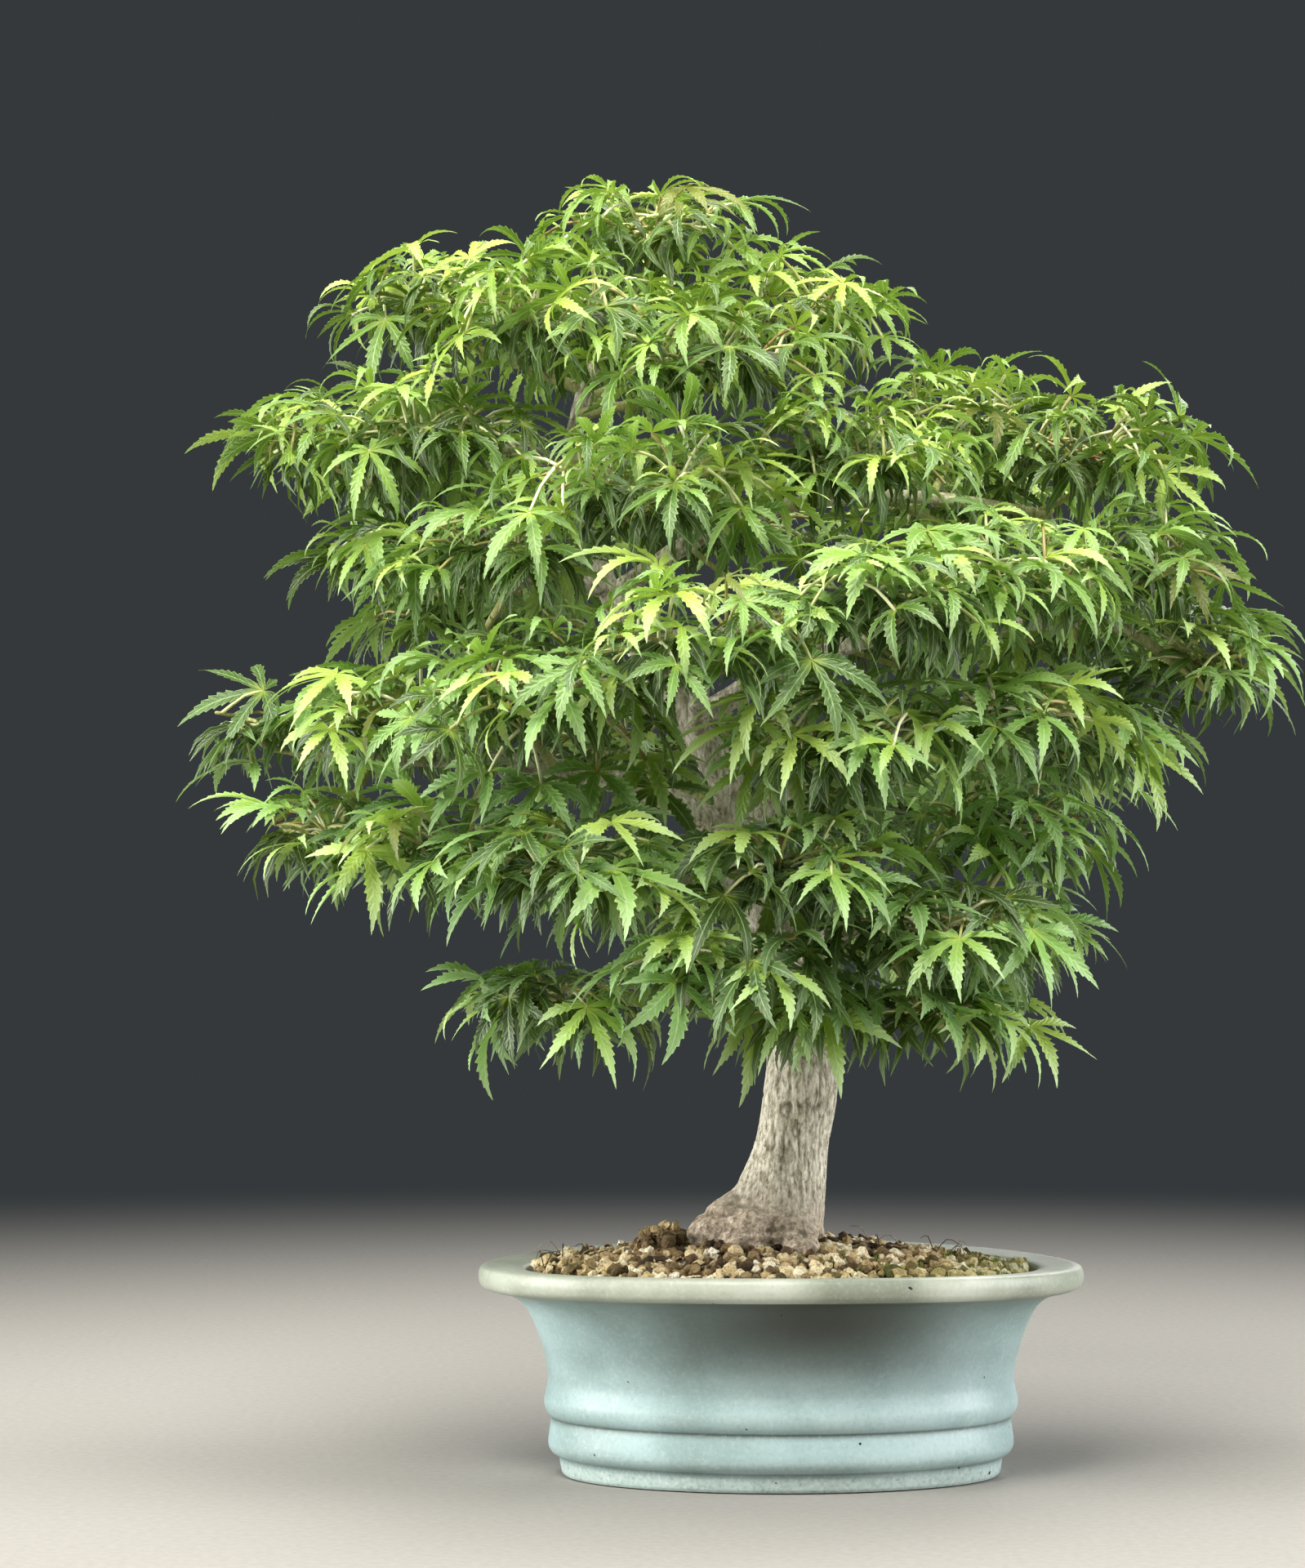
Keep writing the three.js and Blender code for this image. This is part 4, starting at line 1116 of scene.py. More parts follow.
clump = Heap(["tint", "algae"])
draw = seeded(21)
for i in range(CLUMP_LUMPS):
    place = soil_place(CLUMP_AT, CLUMP_SPREAD, draw)
    size = 1.5 + 1.7 * draw()
    away = math.hypot(place[0] - CLUMP_AT[0], (place[1] - CLUMP_AT[1]) / 1.2)
    near = 1 - away / CLUMP_SPREAD[1]
    place[2] += 0.6 * size + CLUMP_HIGH * max(0, near) * draw()
    turns = [2 * math.pi * draw() for _ in range(3)]
    lump = turned(crumb_kinds[int(draw() * CRUMB_KINDS)], turns) * size + place
    # Lumps higher up the clump are paler
    dusty = float(share_between(place[2], PALER_FROM, PALER_FULL))
    clump.put(lump, ball_faces, tint=0.16 + 0.24 * draw() + 0.45 * dusty, algae=0.12 * draw())
clump_piece = clump.make("old_soil_clump", [grit], "grit")
facets(clump_piece)
print("clump:", triangles_of(clump_piece), "triangles")

# %% Humus, dead roots and moss
# Where each lies: the middle and the half lengths of a patch, in x and y
BY_TRUNK, ANYWHERE = ((29, 4), (14, 14)), ((0, 0), (76, 50))
LEFT_RIM, RIGHT_SIDE = ((-74, 0), (10, 18)), ((40, 2), (24, 20))
RIGHT_RIM, FRONT_RIM = ((64, -2), (13, 20)), ((30, -34), (44, 9))
HUMUS_BITS = 90
ROOT_THREADS = 24
MOSS_TUFTS = 130
TUFT_SPIKES = 7
SPIKE_RADIUS = 0.32

scraps = Heap([])
flat_points, flat_faces = ball(1)
for i in range(HUMUS_BITS):
    place = soil_place(*(BY_TRUNK if i % 3 else ANYWHERE), draw)
    bit = flat_points * [1.6 + 2.2 * draw(), 0.8 + 0.9 * draw(), 0.45]
    tilt = [0.9 * (draw() - 0.5), 0.9 * (draw() - 0.5), 2 * math.pi * draw()]
    scraps.put(turned(bit, tilt) + place + [0, 0, 1.1], flat_faces, 0)
for i in range(ROOT_THREADS):
    start = soil_place(*(RIGHT_SIDE if i % 2 else LEFT_RIM), draw)
    heading = 2 * math.pi * draw()
    away = np.array([math.cos(heading), math.sin(heading), 0])
    long, rise = 5 + 7 * draw(), 2 + 5 * draw()
    bend = start + 0.5 * long * away + [0, 0, rise]
    tip = start + long * away + [0, 0, rise * (0.4 + 0.9 * draw())]
    thread = [[*(start - [0, 0, 1]), 0.18], [*bend, 0.15], [*tip, 0.09]]
    points, faces, _ = tube(thread, 4, 2.5)
    scraps.put(points, faces, 1 if draw() < 0.6 else 0)
spike_faces = [(0, 1, 3), (1, 2, 3), (2, 0, 3)]
for i in range(MOSS_TUFTS):
    tuft = soil_place(*(RIGHT_RIM if i % 4 else FRONT_RIM), draw)
    for _ in range(TUFT_SPIKES):
        foot = tuft + [1.6 * (draw() - 0.5), 1.6 * (draw() - 0.5), 0.6]
        lean = [0.9 * (draw() - 0.5), 0.9 * (draw() - 0.5), 1.0 + 1.2 * draw()]
        round_it = [np.array([math.cos(t), math.sin(t), 0]) for t in (0, 2.1, 4.2)]
        corners = [foot + SPIKE_RADIUS * way for way in round_it]
        scraps.put(np.array([*corners, foot + lean]), spike_faces, 2)
scrap_piece = scraps.make("soil_scraps", scrap_finishes, "grit")
print("scraps:", triangles_of(scrap_piece), "triangles")

# %% [markdown]
# ## Leaf and stalk finishes
# A thin leaf does two things with light: its waxy upper face throws some back as a pale
# sheen, and the rest goes through and comes out yellow-green below. So the finish mixes a
# Principled surface with a translucent one. Marks on the points say how far a spot lies along
# its lobe and across it, which places the pale midrib, the side veins and the bright heart of
# the leaf. Higher leaves are yellower: partly the own colour of sun leaves, partly painted light
# on the crown and painted shade low down. A stalk is smooth, pale and full of water, so a little
# light goes under its skin.


# %% Greens of the leaves
# Each leaf's own tint picks its green, from dark to light, off one ramp for shade and one for sun
SHADE_GREENS = [
    (0.0, "#0f260f"),
    (0.28, "#2f5c27"),
    (0.62, "#84bb64"),
    (0.84, "#a8ca57"),
    (1.0, "#c4de68"),
]
SUN_GREENS = [
    (0.0, "#182c09"),
    (0.3, "#48701b"),
    (0.68, "#8fb33f"),
    (0.86, "#abc544"),
    (1.0, "#c4da58"),
]
SHADE_HEIGHT, SUN_HEIGHT = 0.16, 0.4  # metres in the frame, where shade ends and full sun begins
print("shades of green:", len(SHADE_GREENS), "in shade and", len(SUN_GREENS), "in sun")

# %% The leaf's finish
VEINS_ALONG = 9.0  # side veins on a lobe


def maple_leaf():
    """A waxy, veined, mottled blade that lets light through."""
    finish, tree = new_finish("maple_leaf")
    where = add(tree, "TexCoord", out="Object")
    along, across, tint, young = [
        add(tree, "Attribute", out="Fac", attribute_name=mark)
        for mark in ("along", "across", "tint", "young")
    ]
    height = add(tree, "SeparateXYZ", {0: where}, "Z")
    # Leaves are yellower higher up: partly their own colour, partly painted light and shade by height
    light = {"Value": height, "From Min": SHADE_HEIGHT, "From Max": SUN_HEIGHT}
    sunlit = add(tree, "MapRange", light)
    colour = add(tree, "ValToRGB", {"Fac": tint}, stops=SHADE_GREENS)
    sun_green = add(tree, "ValToRGB", {"Fac": tint}, stops=SUN_GREENS)
    clouds = {"Vector": where, "Scale": per_mm(4.0), "Detail": 4.0, "Roughness": 0.6}
    mottle = add(tree, "TexNoise", clouds)
    more = add(tree, "Math", {0: tint, 1: 0.6, 2: 0.1}, operation="MULTIPLY_ADD")
    mottling = add(tree, "Math", {0: mottle, 1: more}, operation="MULTIPLY")
    # Ribs: a pale midrib and slanting side veins; the pale margin is a painted edge highlight
    slant = add(tree, "Math", {0: across, 1: 1.3}, operation="MULTIPLY")
    veins = add(tree, "Math", {0: along, 1: VEINS_ALONG}, operation="MULTIPLY")
    run = add(tree, "Math", {0: veins, 1: slant}, operation="SUBTRACT")
    phase = add(tree, "Math", {0: run, 1: 2 * math.pi}, operation="MULTIPLY")
    wave = add(tree, "Math", {0: phase}, operation="SINE")
    side_vein = add(tree, "Math", {0: wave, 1: 0.93}, operation="GREATER_THAN")
    midrib = add(tree, "Math", {0: across, 1: 0.09}, operation="LESS_THAN")
    # a painted highlight along the edge of each lobe
    margin = add(tree, "Math", {0: across, 1: 0.86}, operation="GREATER_THAN")
    faint_vein = add(tree, "Math", {0: side_vein, 1: 0.3}, operation="MULTIPLY")
    fine = add(tree, "Math", {0: faint_vein, 1: margin}, operation="MAXIMUM")
    faint_veins_and_edge_highlight = add(tree, "Math", {0: fine, 1: 0.6}, operation="MULTIPLY")
    ribs = add(tree, "Math", {0: midrib, 1: faint_veins_and_edge_highlight}, operation="MAXIMUM")
    ribs_and_edge_highlight = add(tree, "Math", {0: ribs, 1: 0.38}, operation="MULTIPLY")
    # Painted sheen: pale tips, more so on light leaves in the shade; and a yellow heart at the stalk
    tip = add(tree, "MapRange", {"Value": along, "From Min": 0.4, "From Max": 1.0, "To Max": 0.8})
    less = add(tree, "Math", {0: sunlit, 1: -0.65, 2: 1.0}, operation="MULTIPLY_ADD")
    lighter = add(tree, "Math", {0: tint, 1: 0.85, 2: 0.15}, operation="MULTIPLY_ADD")
    shaded = add(tree, "Math", {0: less, 1: lighter}, operation="MULTIPLY")
    painted_tip_sheen = add(tree, "Math", {0: tip, 1: shaded}, operation="MULTIPLY")
    heart = add(tree, "MapRange", {"Value": along, "From Min": 0.2, "From Max": 0.02})
    hearted = add(tree, "Math", {0: heart, 1: 0.5}, operation="MULTIPLY")
    coats = [
        (sunlit, sun_green),
        (mottling, "#95b258"),
        (ribs_and_edge_highlight, "#d5e8a2"),
        (painted_tip_sheen, "#d2ecc0"),
        (hearted, "#c4d955"),
        (young, "#6a6a2c"),
    ]
    for share, tone in coats:
        colour = add(tree, "Mix", {0: share, 6: colour, 7: tone}, **COLOUR_MIX)
    waves = add(tree, "Math", {0: wave, 1: mottle}, operation="ADD")
    relief = add(tree, "Bump", {"Strength": 0.4, "Distance": 0.2 * MM, "Height": waves})
    looks = {"Base Color": colour, "Roughness": 0.38, "IOR": 1.45, "Normal": relief}
    face = add(tree, "BsdfPrincipled", looks)
    glow = add(tree, "Mix", {0: 0.35, 6: colour, 7: "#a6cf24"}, **COLOUR_MIX)
    through = add(tree, "BsdfTranslucent", {"Color": glow})
    blade = add(tree, "MixShader", {0: 0.22, 1: face, 2: through})
    add(tree, "OutputMaterial", {"Surface": blade})
    return finish


leaf_finishes = [maple_leaf()]
print("made", leaf_finishes[0].name, "with", len(leaf_finishes[0].node_tree.nodes), "nodes")

# %% The stalk's finish
STALK_TONES = [(0.0, "#a8835c"), (0.2, "#c3c27a"), (0.5, "#d9dd9c"), (1.0, "#f3f0cd")]


def leaf_stalk():
    """Smooth pale flesh, reddish brown on a few."""
    finish, tree = new_finish("leaf_stalk")
    tint = add(tree, "Attribute", out="Fac", attribute_name="tint")
    colour = add(tree, "ValToRGB", {"Fac": tint}, stops=STALK_TONES)
    looks = {"Base Color": colour, "Roughness": 0.5, "Subsurface Weight": 0.15}
    depths = {"Subsurface Radius": (MM, MM, 0.4 * MM), "Subsurface Scale": 0.5}
    surface = add(tree, "BsdfPrincipled", {**looks, **depths})
    add(tree, "OutputMaterial", {"Surface": surface})
    return finish


leaf_finishes.append(leaf_stalk())
print("finishes of the sprays:", [finish.name for finish in leaf_finishes])

# %% [markdown]
# ## The shape of a leaf
# The leaf of a Japanese maple is a hand of five to seven long lobes that part almost at the
# stalk. Each lobe is sawn along both margins, folded a little along its midrib and arched down
# to a thin tip. A flat card with a leaf cut out of it is light and quick, but looks like a card
# from the side. So a lobe is built as stations along its midrib, with one point on the rib and
# one on either margin, which go in and out from notch to tooth. Sixteen leaves that differ in
# arch, fold, sway and proportion are enough, once each is turned and sized on its own.

# %% One lobe
LOBE_SHARES = [0.0, 0.2, 0.38, 0.54, 0.7, 0.84, 1.0]
LOBE_WIDTHS = [0.42, 0.64, 0.92, 1.0, 0.7, 0.32, 0.0]
TEETH_FROM, TEETH_TO = 0.3, 0.93
TOOTH_AT = 0.86  # how far along from one notch to the next a tooth points
TOOTH_OUT, NOTCH_IN = 1.2, 0.8
WEDGE = 23  # degrees from the rib, within which the lobe's foot stays clear of its neighbours


def lobe(angle, length, half_width, teeth, arch, fold, sway, roll):
    """A lobe's points, faces, and its marks: the share along it and the share across it.

    arch is its slope in degrees at either end, fold how far its margins are raised, and sway
    and roll are the degrees by which it turns aside and twists on the way to its tip.
    """
    if teeth:
        pitch = (TEETH_TO - TEETH_FROM) / teeth
        notches = TEETH_FROM + pitch * np.arange(teeth)
        saw = np.column_stack([notches, notches + TOOTH_AT * pitch]).ravel()
        shares = np.concatenate([[0.0, 0.12, 0.22], saw, [1.0]])
    else:
        shares = np.array([0.0, 0.2, 0.45, 0.74, 1.0])
    wide = half_width * np.interp(shares, LOBE_SHARES, LOBE_WIDTHS)
    if teeth:
        wide[3:-1:2] *= NOTCH_IN
        wide[4:-1:2] *= TOOTH_OUT
    wide = np.minimum(wide, shares * length * math.tan(math.radians(WEDGE)))
    slopes = np.radians(arch[0] + (arch[1] - arch[0]) * shares**1.4)
    headings = np.radians(angle + sway * shares**2)
    ways = np.column_stack(
        [np.sin(headings) * np.cos(slopes), np.cos(headings) * np.cos(slopes), -np.sin(slopes)]
    )
    steps = np.diff(shares, prepend=0.0) * length
    ribs = np.cumsum(ways * steps[:, None], axis=0)
    rights = np.column_stack([np.cos(headings), -np.sin(headings), 0 * shares])
    ups = np.cross(rights, ways)
    tilts = np.radians(roll) * shares[:, None]
    sides = rights * np.cos(tilts) + ups * np.sin(tilts)
    tops = ups * np.cos(tilts) - rights * np.sin(tilts)
    lift = tops * (fold * wide * (1 - 0.5 * shares))[:, None]
    left = ribs - sides * wide[:, None] + lift
    right = ribs + sides * wide[:, None] + lift
    middle = np.stack([left, ribs, right], axis=1)[1:-1].reshape(-1, 3)
    points = np.vstack([ribs[:1], middle, ribs[-1:]])
    last = len(points) - 1
    faces = [(0, 2, 1), (0, 3, 2)]
    for a in range(1, last - 3, 3):
        faces.append((a, a + 1, a + 4, a + 3))
        faces.append((a + 1, a + 2, a + 5, a + 4))
    faces.append((last - 3, last - 2, last))
    faces.append((last - 2, last - 1, last))
    along = np.concatenate([[0.0], np.repeat(shares[1:-1], 3), [1.0]])
    across = np.concatenate([[0.0], np.tile([1.0, 0.0, 1.0], len(shares) - 2), [0.0]])
    return points, faces, along, across


print("faces of a flat lobe with 7 teeth:", len(lobe(0, 30, 3, 7, (0, 0), 0, 0, 0)[1]))

# %% [markdown]
# The kinds run from slack narrow leaves, which hang, to flat broad ones. The plain version of
# each has five lobes without teeth. It is for the inside of a spray, where little is seen.


# %% Leaf templates
LEAF_KINDS = 16
LEAF_LONG = 29.5  # the middle lobe of a leaf of size 1
LOBE_HALF = 2.75  # half the width of the middle lobe at its widest
# Each lobe's angle from the middle one, and its length as a share of that one's
LOBES = [[-134, 0.3], [-90, 0.66], [-44, 0.93], [0, 1.0], [44, 0.93], [90, 0.66], [134, 0.3]]
SWAY, ROLL = 52, 80  # degrees in all between the extremes


def leaf_template(kind, plain=False):
    """A leaf with its joint at the origin, its middle lobe along +y and its upper side up."""
    draw = seeded(300 + kind)
    broad = kind / (LEAF_KINDS - 1)
    slack = 82 - 48 * broad + 34 * (draw() - 0.5)
    fold = 0.15 + 0.6 * draw()
    slim = 0.66 + 0.4 * broad + 0.14 * (draw() - 0.5)
    points, faces, along, across = [], [], [], []
    count = 0
    for angle, share in LOBES[1:-1] if plain else LOBES:
        longer = share * (0.94 + 0.12 * draw())
        arch = [-26 + 26 * draw(), slack * (0.6 + 0.8 * draw())]
        piece = lobe(
            angle + 9 * (draw() - 0.5),
            LEAF_LONG * longer,
            LOBE_HALF * slim * (0.45 + 0.55 * longer),
            0 if plain else 7 if share > 0.8 else 5 if share > 0.5 else 2,
            arch,
            fold,
            SWAY * (draw() - 0.5),
            ROLL * (draw() - 0.5),
        )
        points.append(piece[0])
        faces.extend([tuple(i + count for i in face) for face in piece[1]])
        along.append(piece[2])
        across.append(piece[3])
        count += len(piece[0])
    return np.vstack(points), faces, np.concatenate(along), np.concatenate(across)


leaf_kinds = [leaf_template(kind) for kind in range(LEAF_KINDS)]
inner_kinds = [leaf_template(kind, plain=True) for kind in range(LEAF_KINDS)]
lone_kinds = leaf_kinds[8:] * 2  # the flatter half of them
print("faces of a leaf:", len(leaf_kinds[0][1]), "and of an inner one:", len(inner_kinds[0][1]))

# %% [markdown]
# ## Where the leaves stand
# Leaves crowd at the ends of short shoots, and each turns its face up to the light and its
# tip outward and down. Particles could scatter them, but couldn't follow the CAD model. So the
# first few of every spray stand where its leaves do, by the same rule and the same draws. The
# others fill the dome between them, and those low on it hang more steeply. At the far left and
# before the trunk a few leaves stand alone, with air round them, and are placed one by one.

# %% Leaves that stand alone
LONE_LEAVES = {  # joint, the way it points, its upper side
    "low_left_tip": [
        [[-174, -12, 264], [-0.95, -0.2, -0.12], [-0.1, -0.75, 0.6]],
        [[-178, -6, 240], [-0.92, -0.1, -0.25], [-0.3, -0.2, 0.85]],
        [[-158, -14, 259], [-0.75, -0.4, -0.45], [-0.4, -0.4, 0.8]],
    ],
    "low_left_middle": [
        [[-62, -72, 236], [-0.1, -0.75, -0.6], [-0.1, -0.6, 0.7]],
        [[-46, -66, 240], [0.25, -0.7, -0.65], [0.1, -0.7, 0.6]],
        [[-80, -82, 232], [-0.4, -0.6, -0.6], [-0.2, -0.6, 0.7]],
        [[-97, -78, 236], [-0.6, -0.5, -0.5], [-0.4, -0.5, 0.8]],
        [[-43, -56, 231], [-0.1, -0.6, -0.75], [-0.1, -0.8, 0.6]],
    ],
    "low_middle": [
        [[0, -64, 240], [0.15, -0.65, -0.7], [0.1, -0.75, 0.6]],
        [[12, -60, 229], [0.5, -0.6, -0.6], [0.2, -0.7, 0.65]],
    ],
}


def bare_air(joint):
    """Whether a place is in the air round the far left end, which only lone leaves enter.

    The air above begins at a slanting line, at height 228 over x -171.
    """
    above = joint[0] < -152 and 228 + joint[0] + 171 < joint[2] < 290
    return above or (joint[0] < -160 and joint[2] < 222)


print("leaves placed one by one:", sum(len(leaves) for leaves in LONE_LEAVES.values()))

# %% How one leaf stands
TRUNK_TOP_X = -20.0
SHADE_Z, SUN_Z = 170, 390  # heights of the lowest and the highest sprays' middles


def sunny(height):
    """0 for the lowest sprays, 1 for the crown."""
    return min(1.0, max(0.0, (height - SHADE_Z) / (SUN_Z - SHADE_Z)))


def spun(vector, axis, angle):
    """A vector turned about an axis by an angle in radians."""
    return np.array(Matrix.Rotation(angle, 3, Vector(axis)) @ Vector(vector))


def leaf_at(spray, level, turn, least_reach, sweep, dips, draw, loose=1.0):
    """A leaf's joint, the way it points, its upper side and its size.

    level and turn say where on the dome it stands, least_reach how far out, sweep how much it
    turns away from the trunk, dips how steeply it hangs, and loose how freely it varies.
    """
    middle, half = spray[1:3]
    reach = least_reach + 0.22 * draw()
    flat = math.sqrt(1 - level * level)
    dome = np.array([flat * math.cos(turn), flat * math.sin(turn), level])
    joint = np.array(middle) + dome * np.array(half) * reach
    from_trunk = np.array([joint[0] - TRUNK_TOP_X, joint[1], 0])
    outward = 0.9 * dome * [1, 1, 0] + sweep * from_trunk / np.linalg.norm(from_trunk)
    outward /= np.linalg.norm(outward)
    outward = spun(outward, (0, 0, 1), math.radians(70 * loose * (draw() - 0.5)))
    dip = math.radians(dips[0] + dips[1] * (1 - level) + 22 * loose * (draw() - 0.5))
    forward = outward * math.cos(dip) - np.array([0, 0, math.sin(dip)])
    upper = outward * math.sin(dip) + np.array([0, 0, math.cos(dip)])
    upper = spun(upper, forward, math.radians(30 * loose * (draw() - 0.5)))
    return joint, forward, upper, 0.84 + 0.32 * draw()


print("sun at 170, 280 and 390 mm:", [sunny(height) for height in (170, 280, 390)])

# %% All leaves of a spray
LEAVES_PER_HALF = 9.9  # the CAD model's rule: a leaf for so many millimetres of half length
DOME_PER_LEAF = 104.0  # square millimetres of a spray's dome for each leaf between those
INNER_SHARE = 0.55  # plainer leaves inside the dome, for each fine one


def leaves_of(spray, index):
    """All leaves of a spray: the CAD model's, those between, the inner and the lone ones."""
    half = spray[2]
    leaves = []
    draw = seeded(100 + index)
    start = 2 * math.pi * draw()
    count = int((half[0] + half[1]) / LEAVES_PER_HALF + 0.5)
    for i in range(count):
        level = 0.97 - 1.22 * (i + 0.5) / count
        turn = start + i * GOLDEN_TURN + 0.5 * (draw() - 0.5)
        leaf = leaf_at(spray, level, turn, 0.8, 0.7, (12, 22), draw)
        if not bare_air(leaf[0]):
            leaves.append((*leaf, leaf_kinds))
    draw = seeded(2000 + index)
    shady = 1 - sunny(spray[1][2])
    dips = (30 * shady - 18, 32)
    area = half[0] * half[1] + half[0] * half[2] + half[1] * half[2]
    more = int(area / DOME_PER_LEAF)
    for i in range(more):
        level = 0.98 - 1.28 * ((i + 0.5) / more) ** 1.2
        turn = start + 2 + i * GOLDEN_TURN + 0.8 * (draw() - 0.5)
        least = 0.46 + 0.46 * draw() ** 0.6
        loose = 3.2 - shady
        joint, forward, upper, size = leaf_at(spray, level, turn, least, 1.0, dips, draw, loose)
        size *= 0.68 + 0.08 * shady + 0.32 * draw()
        if not bare_air(joint):
            leaves.append((joint, forward, upper, size, leaf_kinds))
    for i in range(int(INNER_SHARE * more)):
        level = 0.7 - 1.05 * draw()
        turn = start + 1 + i * GOLDEN_TURN
        joint, forward, upper, size = leaf_at(spray, level, turn, 0.25, 1.0, (10, 26), draw)
        leaves.append((joint, forward, upper, 0.85 * size, inner_kinds))
    for joint, forward, upper in LONE_LEAVES.get(spray[0], []):
        forward = np.array(forward) / np.linalg.norm(forward)
        upper = np.array(upper) - forward * np.dot(forward, upper)
        leaves.append((np.array(joint), forward, upper / np.linalg.norm(upper), 1.05, lone_kinds))
    return leaves


counts = [len(leaves_of(spray, index)) for index, spray in enumerate(SPRAYS)]
print("leaves:", sum(counts), "a spray:", min(counts), "to", max(counts))

# %% [markdown]
# Each leaf hangs from a thin pale stalk, which springs from the place on a shoot that makes it
# nearest to 17 mm long. A leaf that would reach past the part's box moves inward, and its stalk
# with it.

# %% The sprays
STALK_RADIUS = 0.52
STALK_LONG = 17.0
BOX_MARGIN = 0.4
FLUSHED_SHARE = 0.014  # of the leaves are new, and still reddish
FLUSHED = 0.8


def put_leaf(heap, leaf, shoot_points, draw):
    """Puts one leaf on the heap, moved into the box, and its stalk from a shoot."""
    joint, forward, upper, size, kinds = leaf
    broad = 0.6 * draw() + 0.4 * (1 - sunny(joint[2]))
    points, faces, along, across = kinds[min(int(LEAF_KINDS * broad), LEAF_KINDS - 1)]
    side = np.cross(forward, upper)
    placed = size * points @ np.array([side, forward, upper]) + joint
    inward = np.maximum(box_low + BOX_MARGIN - placed.min(axis=0), 0)
    inward += np.minimum(box_high - BOX_MARGIN - placed.max(axis=0), 0)
    placed = placed + inward
    joint = joint + inward
    # Inner leaves take only the darkest tints: partly the darker green of shade leaves, partly painted
    # shade inside the spray
    tint = 0.22 * draw() if kinds is inner_kinds else draw()
    young = FLUSHED if draw() < FLUSHED_SHARE else 0.0
    heap.put(placed, faces, 0, along=along, across=across, tint=tint, young=young)
    gaps = np.linalg.norm(shoot_points - joint, axis=1)
    start = shoot_points[np.argmin(np.abs(gaps - STALK_LONG))]
    gap = np.linalg.norm(joint - start)
    bow = start + 0.55 * (joint - start) + np.array([0, 0, 0.1 * gap])
    end = joint - 0.3 * upper
    line = [[*start, 1.2 * STALK_RADIUS], [*bow, STALK_RADIUS], [*end, 1.15 * STALK_RADIUS]]
    tube_points, tube_faces, _ = tube(line, 3 if kinds is inner_kinds else 4, 5.0)
    heap.put(tube_points, tube_faces, 1, along=0.0, across=0.0, tint=draw(), young=0.0)


leaf_total = 0
for index, spray in enumerate(SPRAYS):
    heap = Heap(["along", "across", "tint", "young"])
    draw = seeded(4000 + index)
    shoot_points = np.vstack([smooth_run(line, 5)[:, :3] for line in shoots_of(spray, index)])
    for leaf in leaves_of(spray, index):
        put_leaf(heap, leaf, shoot_points, draw)
    name = spray[0]
    piece = heap.make("leaves_" + name, leaf_finishes, "leaf", ["spray_" + name])
    leaf_total += triangles_of(piece)
print("triangles of leaves and stalks:", leaf_total)

# %% [markdown]
# ## Floor and light
# A studio shot needs a floor, a few large soft lights and a lens. The floor is a plain pale
# disc of matt card that fades into the backdrop's own tone, so no horizon shows. Large soft
# panels stand in front, at both sides and overhead, and a weak one behind lifts the leaf tips.

# %% The studio
FLOOR_RADIUS = 1.4
FLOOR_SEGMENTS = 96
FADE_FROM, FADE_TO = 0.35, 1.3  # metres from the middle
BELOW_POT = 0.0003  # metres under the pot's foot, so that the two don't share a plane
BACKDROP = "#35393b"


def pale_floor():
    """Matt card with a fine grain, which clears to nothing further out."""
    finish, tree = new_finish("pale_floor")
    where = add(tree, "TexCoord", out="Object")
    out = add(tree, "VectorMath", {0: where}, "Value", operation="LENGTH")
    fading = {"Value": out, "From Min": FADE_FROM, "From Max": FADE_TO}
    fade = add(tree, "MapRange", fading, interpolation_type="SMOOTHSTEP")
    grain = add(tree, "TexNoise", {"Vector": where, "Scale": per_mm(3), "Detail": 2.0})
    tone = add(tree, "ValToRGB", {"Fac": grain}, stops=[(0.3, "#8f8c86"), (0.7, "#97948e")])
    card = add(tree, "BsdfPrincipled", {"Base Color": tone, "Roughness": 0.9})
    both = add(tree, "MixShader", {0: fade, 1: card, 2: add(tree, "BsdfTransparent")})
    add(tree, "OutputMaterial", {"Surface": both})
    return finish


floor_mesh = bpy.data.meshes.new("studio_floor")
disc = bmesh.new()
bmesh.ops.create_circle(disc, cap_ends=True, segments=FLOOR_SEGMENTS, radius=FLOOR_RADIUS)
disc.to_mesh(floor_mesh)
disc.free()
floor_mesh.materials.append(pale_floor())
floor = bpy.data.objects.new("studio_floor", floor_mesh)
floor.location.z = -BELOW_POT
bpy.context.scene.collection.objects.link(floor)

world = bpy.data.worlds.new("studio_air")
world.use_nodes = True
world.node_tree.nodes.clear()
air = add(world.node_tree, "Background", {"Color": BACKDROP, "Strength": 1.0})
add(world.node_tree, "OutputWorld", {"Surface": air})
bpy.context.scene.world = world
print("floor:", 2 * FLOOR_RADIUS, "m across; backdrop:", BACKDROP)


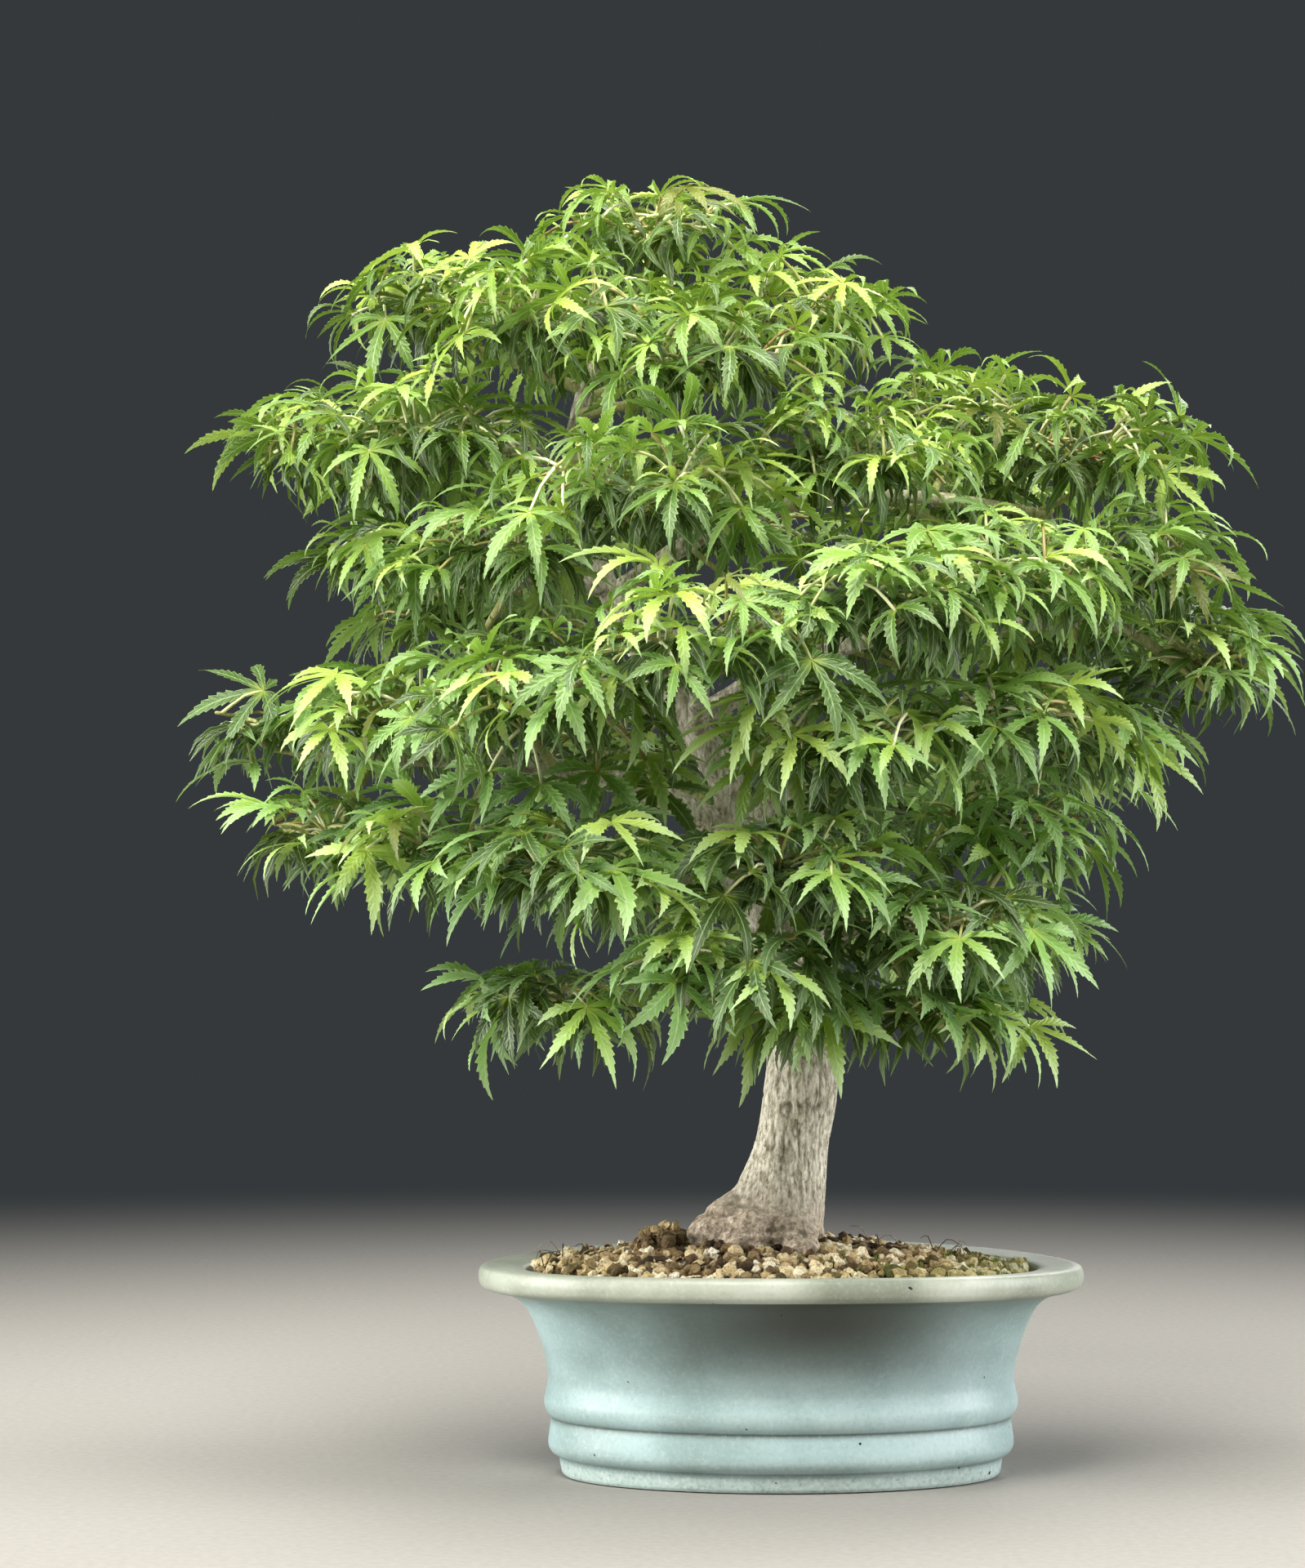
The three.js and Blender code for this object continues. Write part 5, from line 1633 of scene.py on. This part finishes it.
# %% The lights
def soft_light(name, place, aim, width, power, tone):
    """A square light panel at place, turned to face aim, both in metres in the frame."""
    panel = bpy.data.lights.new(name, "AREA")
    panel.size = width
    panel.energy = power
    panel.color = linear(tone)[:3]
    stand = bpy.data.objects.new(name, panel)
    stand.location = place
    stand.rotation_euler = (Vector(aim) - Vector(place)).to_track_quat("-Z", "Y").to_euler()
    bpy.context.scene.collection.objects.link(stand)


TREE_MIDDLE = (-0.02, 0, 0.2)
LIGHTS = [  # name, place, width, watts and tone
    ["front_light", (-0.3, -1.0, 1.35), 0.6, 28, "#fffcf6"],
    ["left_light", (-1.45, -0.25, 0.42), 0.8, 31, "#fbfbfa"],
    ["top_light", (-0.05, -0.1, 1.45), 0.8, 24, "#fffdf6"],
    ["right_light", (1.4, -0.25, 0.48), 0.8, 22, "#fbfcff"],
    ["rim_light", (0.5, 1.3, 0.9), 0.7, 8, "#ffffff"],
]
for name, place, width, power, tone in LIGHTS:
    soft_light(name, place, TREE_MIDDLE, width, power, tone)
print("lights:", [lamp.name for lamp in bpy.data.lights])

# %% [markdown]
# ## The camera
# The photo was taken level with the lower branches from about a metre and a half away, with
# a long lens. These numbers come from the pot's rim, which shows as an ellipse whose height
# gives the eye's height, and from how large things of known size come out in the photo.

# %% The camera
CAMERA_AT = (-0.046, -1.5205, 0.215)
CAMERA_TURN = 0.81  # degrees to the right of +Y
CAMERA_TILT = 0.67  # degrees upwards
CAMERA_LENS = 103.7  # mm, on a sensor whose long side is 36 mm
lens = bpy.data.cameras.new("long_lens")
lens.lens = CAMERA_LENS
lens.sensor_width = 36
lens.sensor_fit = "AUTO"
lens.clip_start = 0.05
camera = bpy.data.objects.new("camera", lens)
camera.location = CAMERA_AT
camera.rotation_euler = (math.radians(90 + CAMERA_TILT), 0, math.radians(-CAMERA_TURN))
bpy.context.scene.collection.objects.link(camera)
bpy.context.scene.camera = camera
bpy.context.scene.view_settings.view_transform = "Standard"
print("camera:", CAMERA_AT, "lens", CAMERA_LENS)
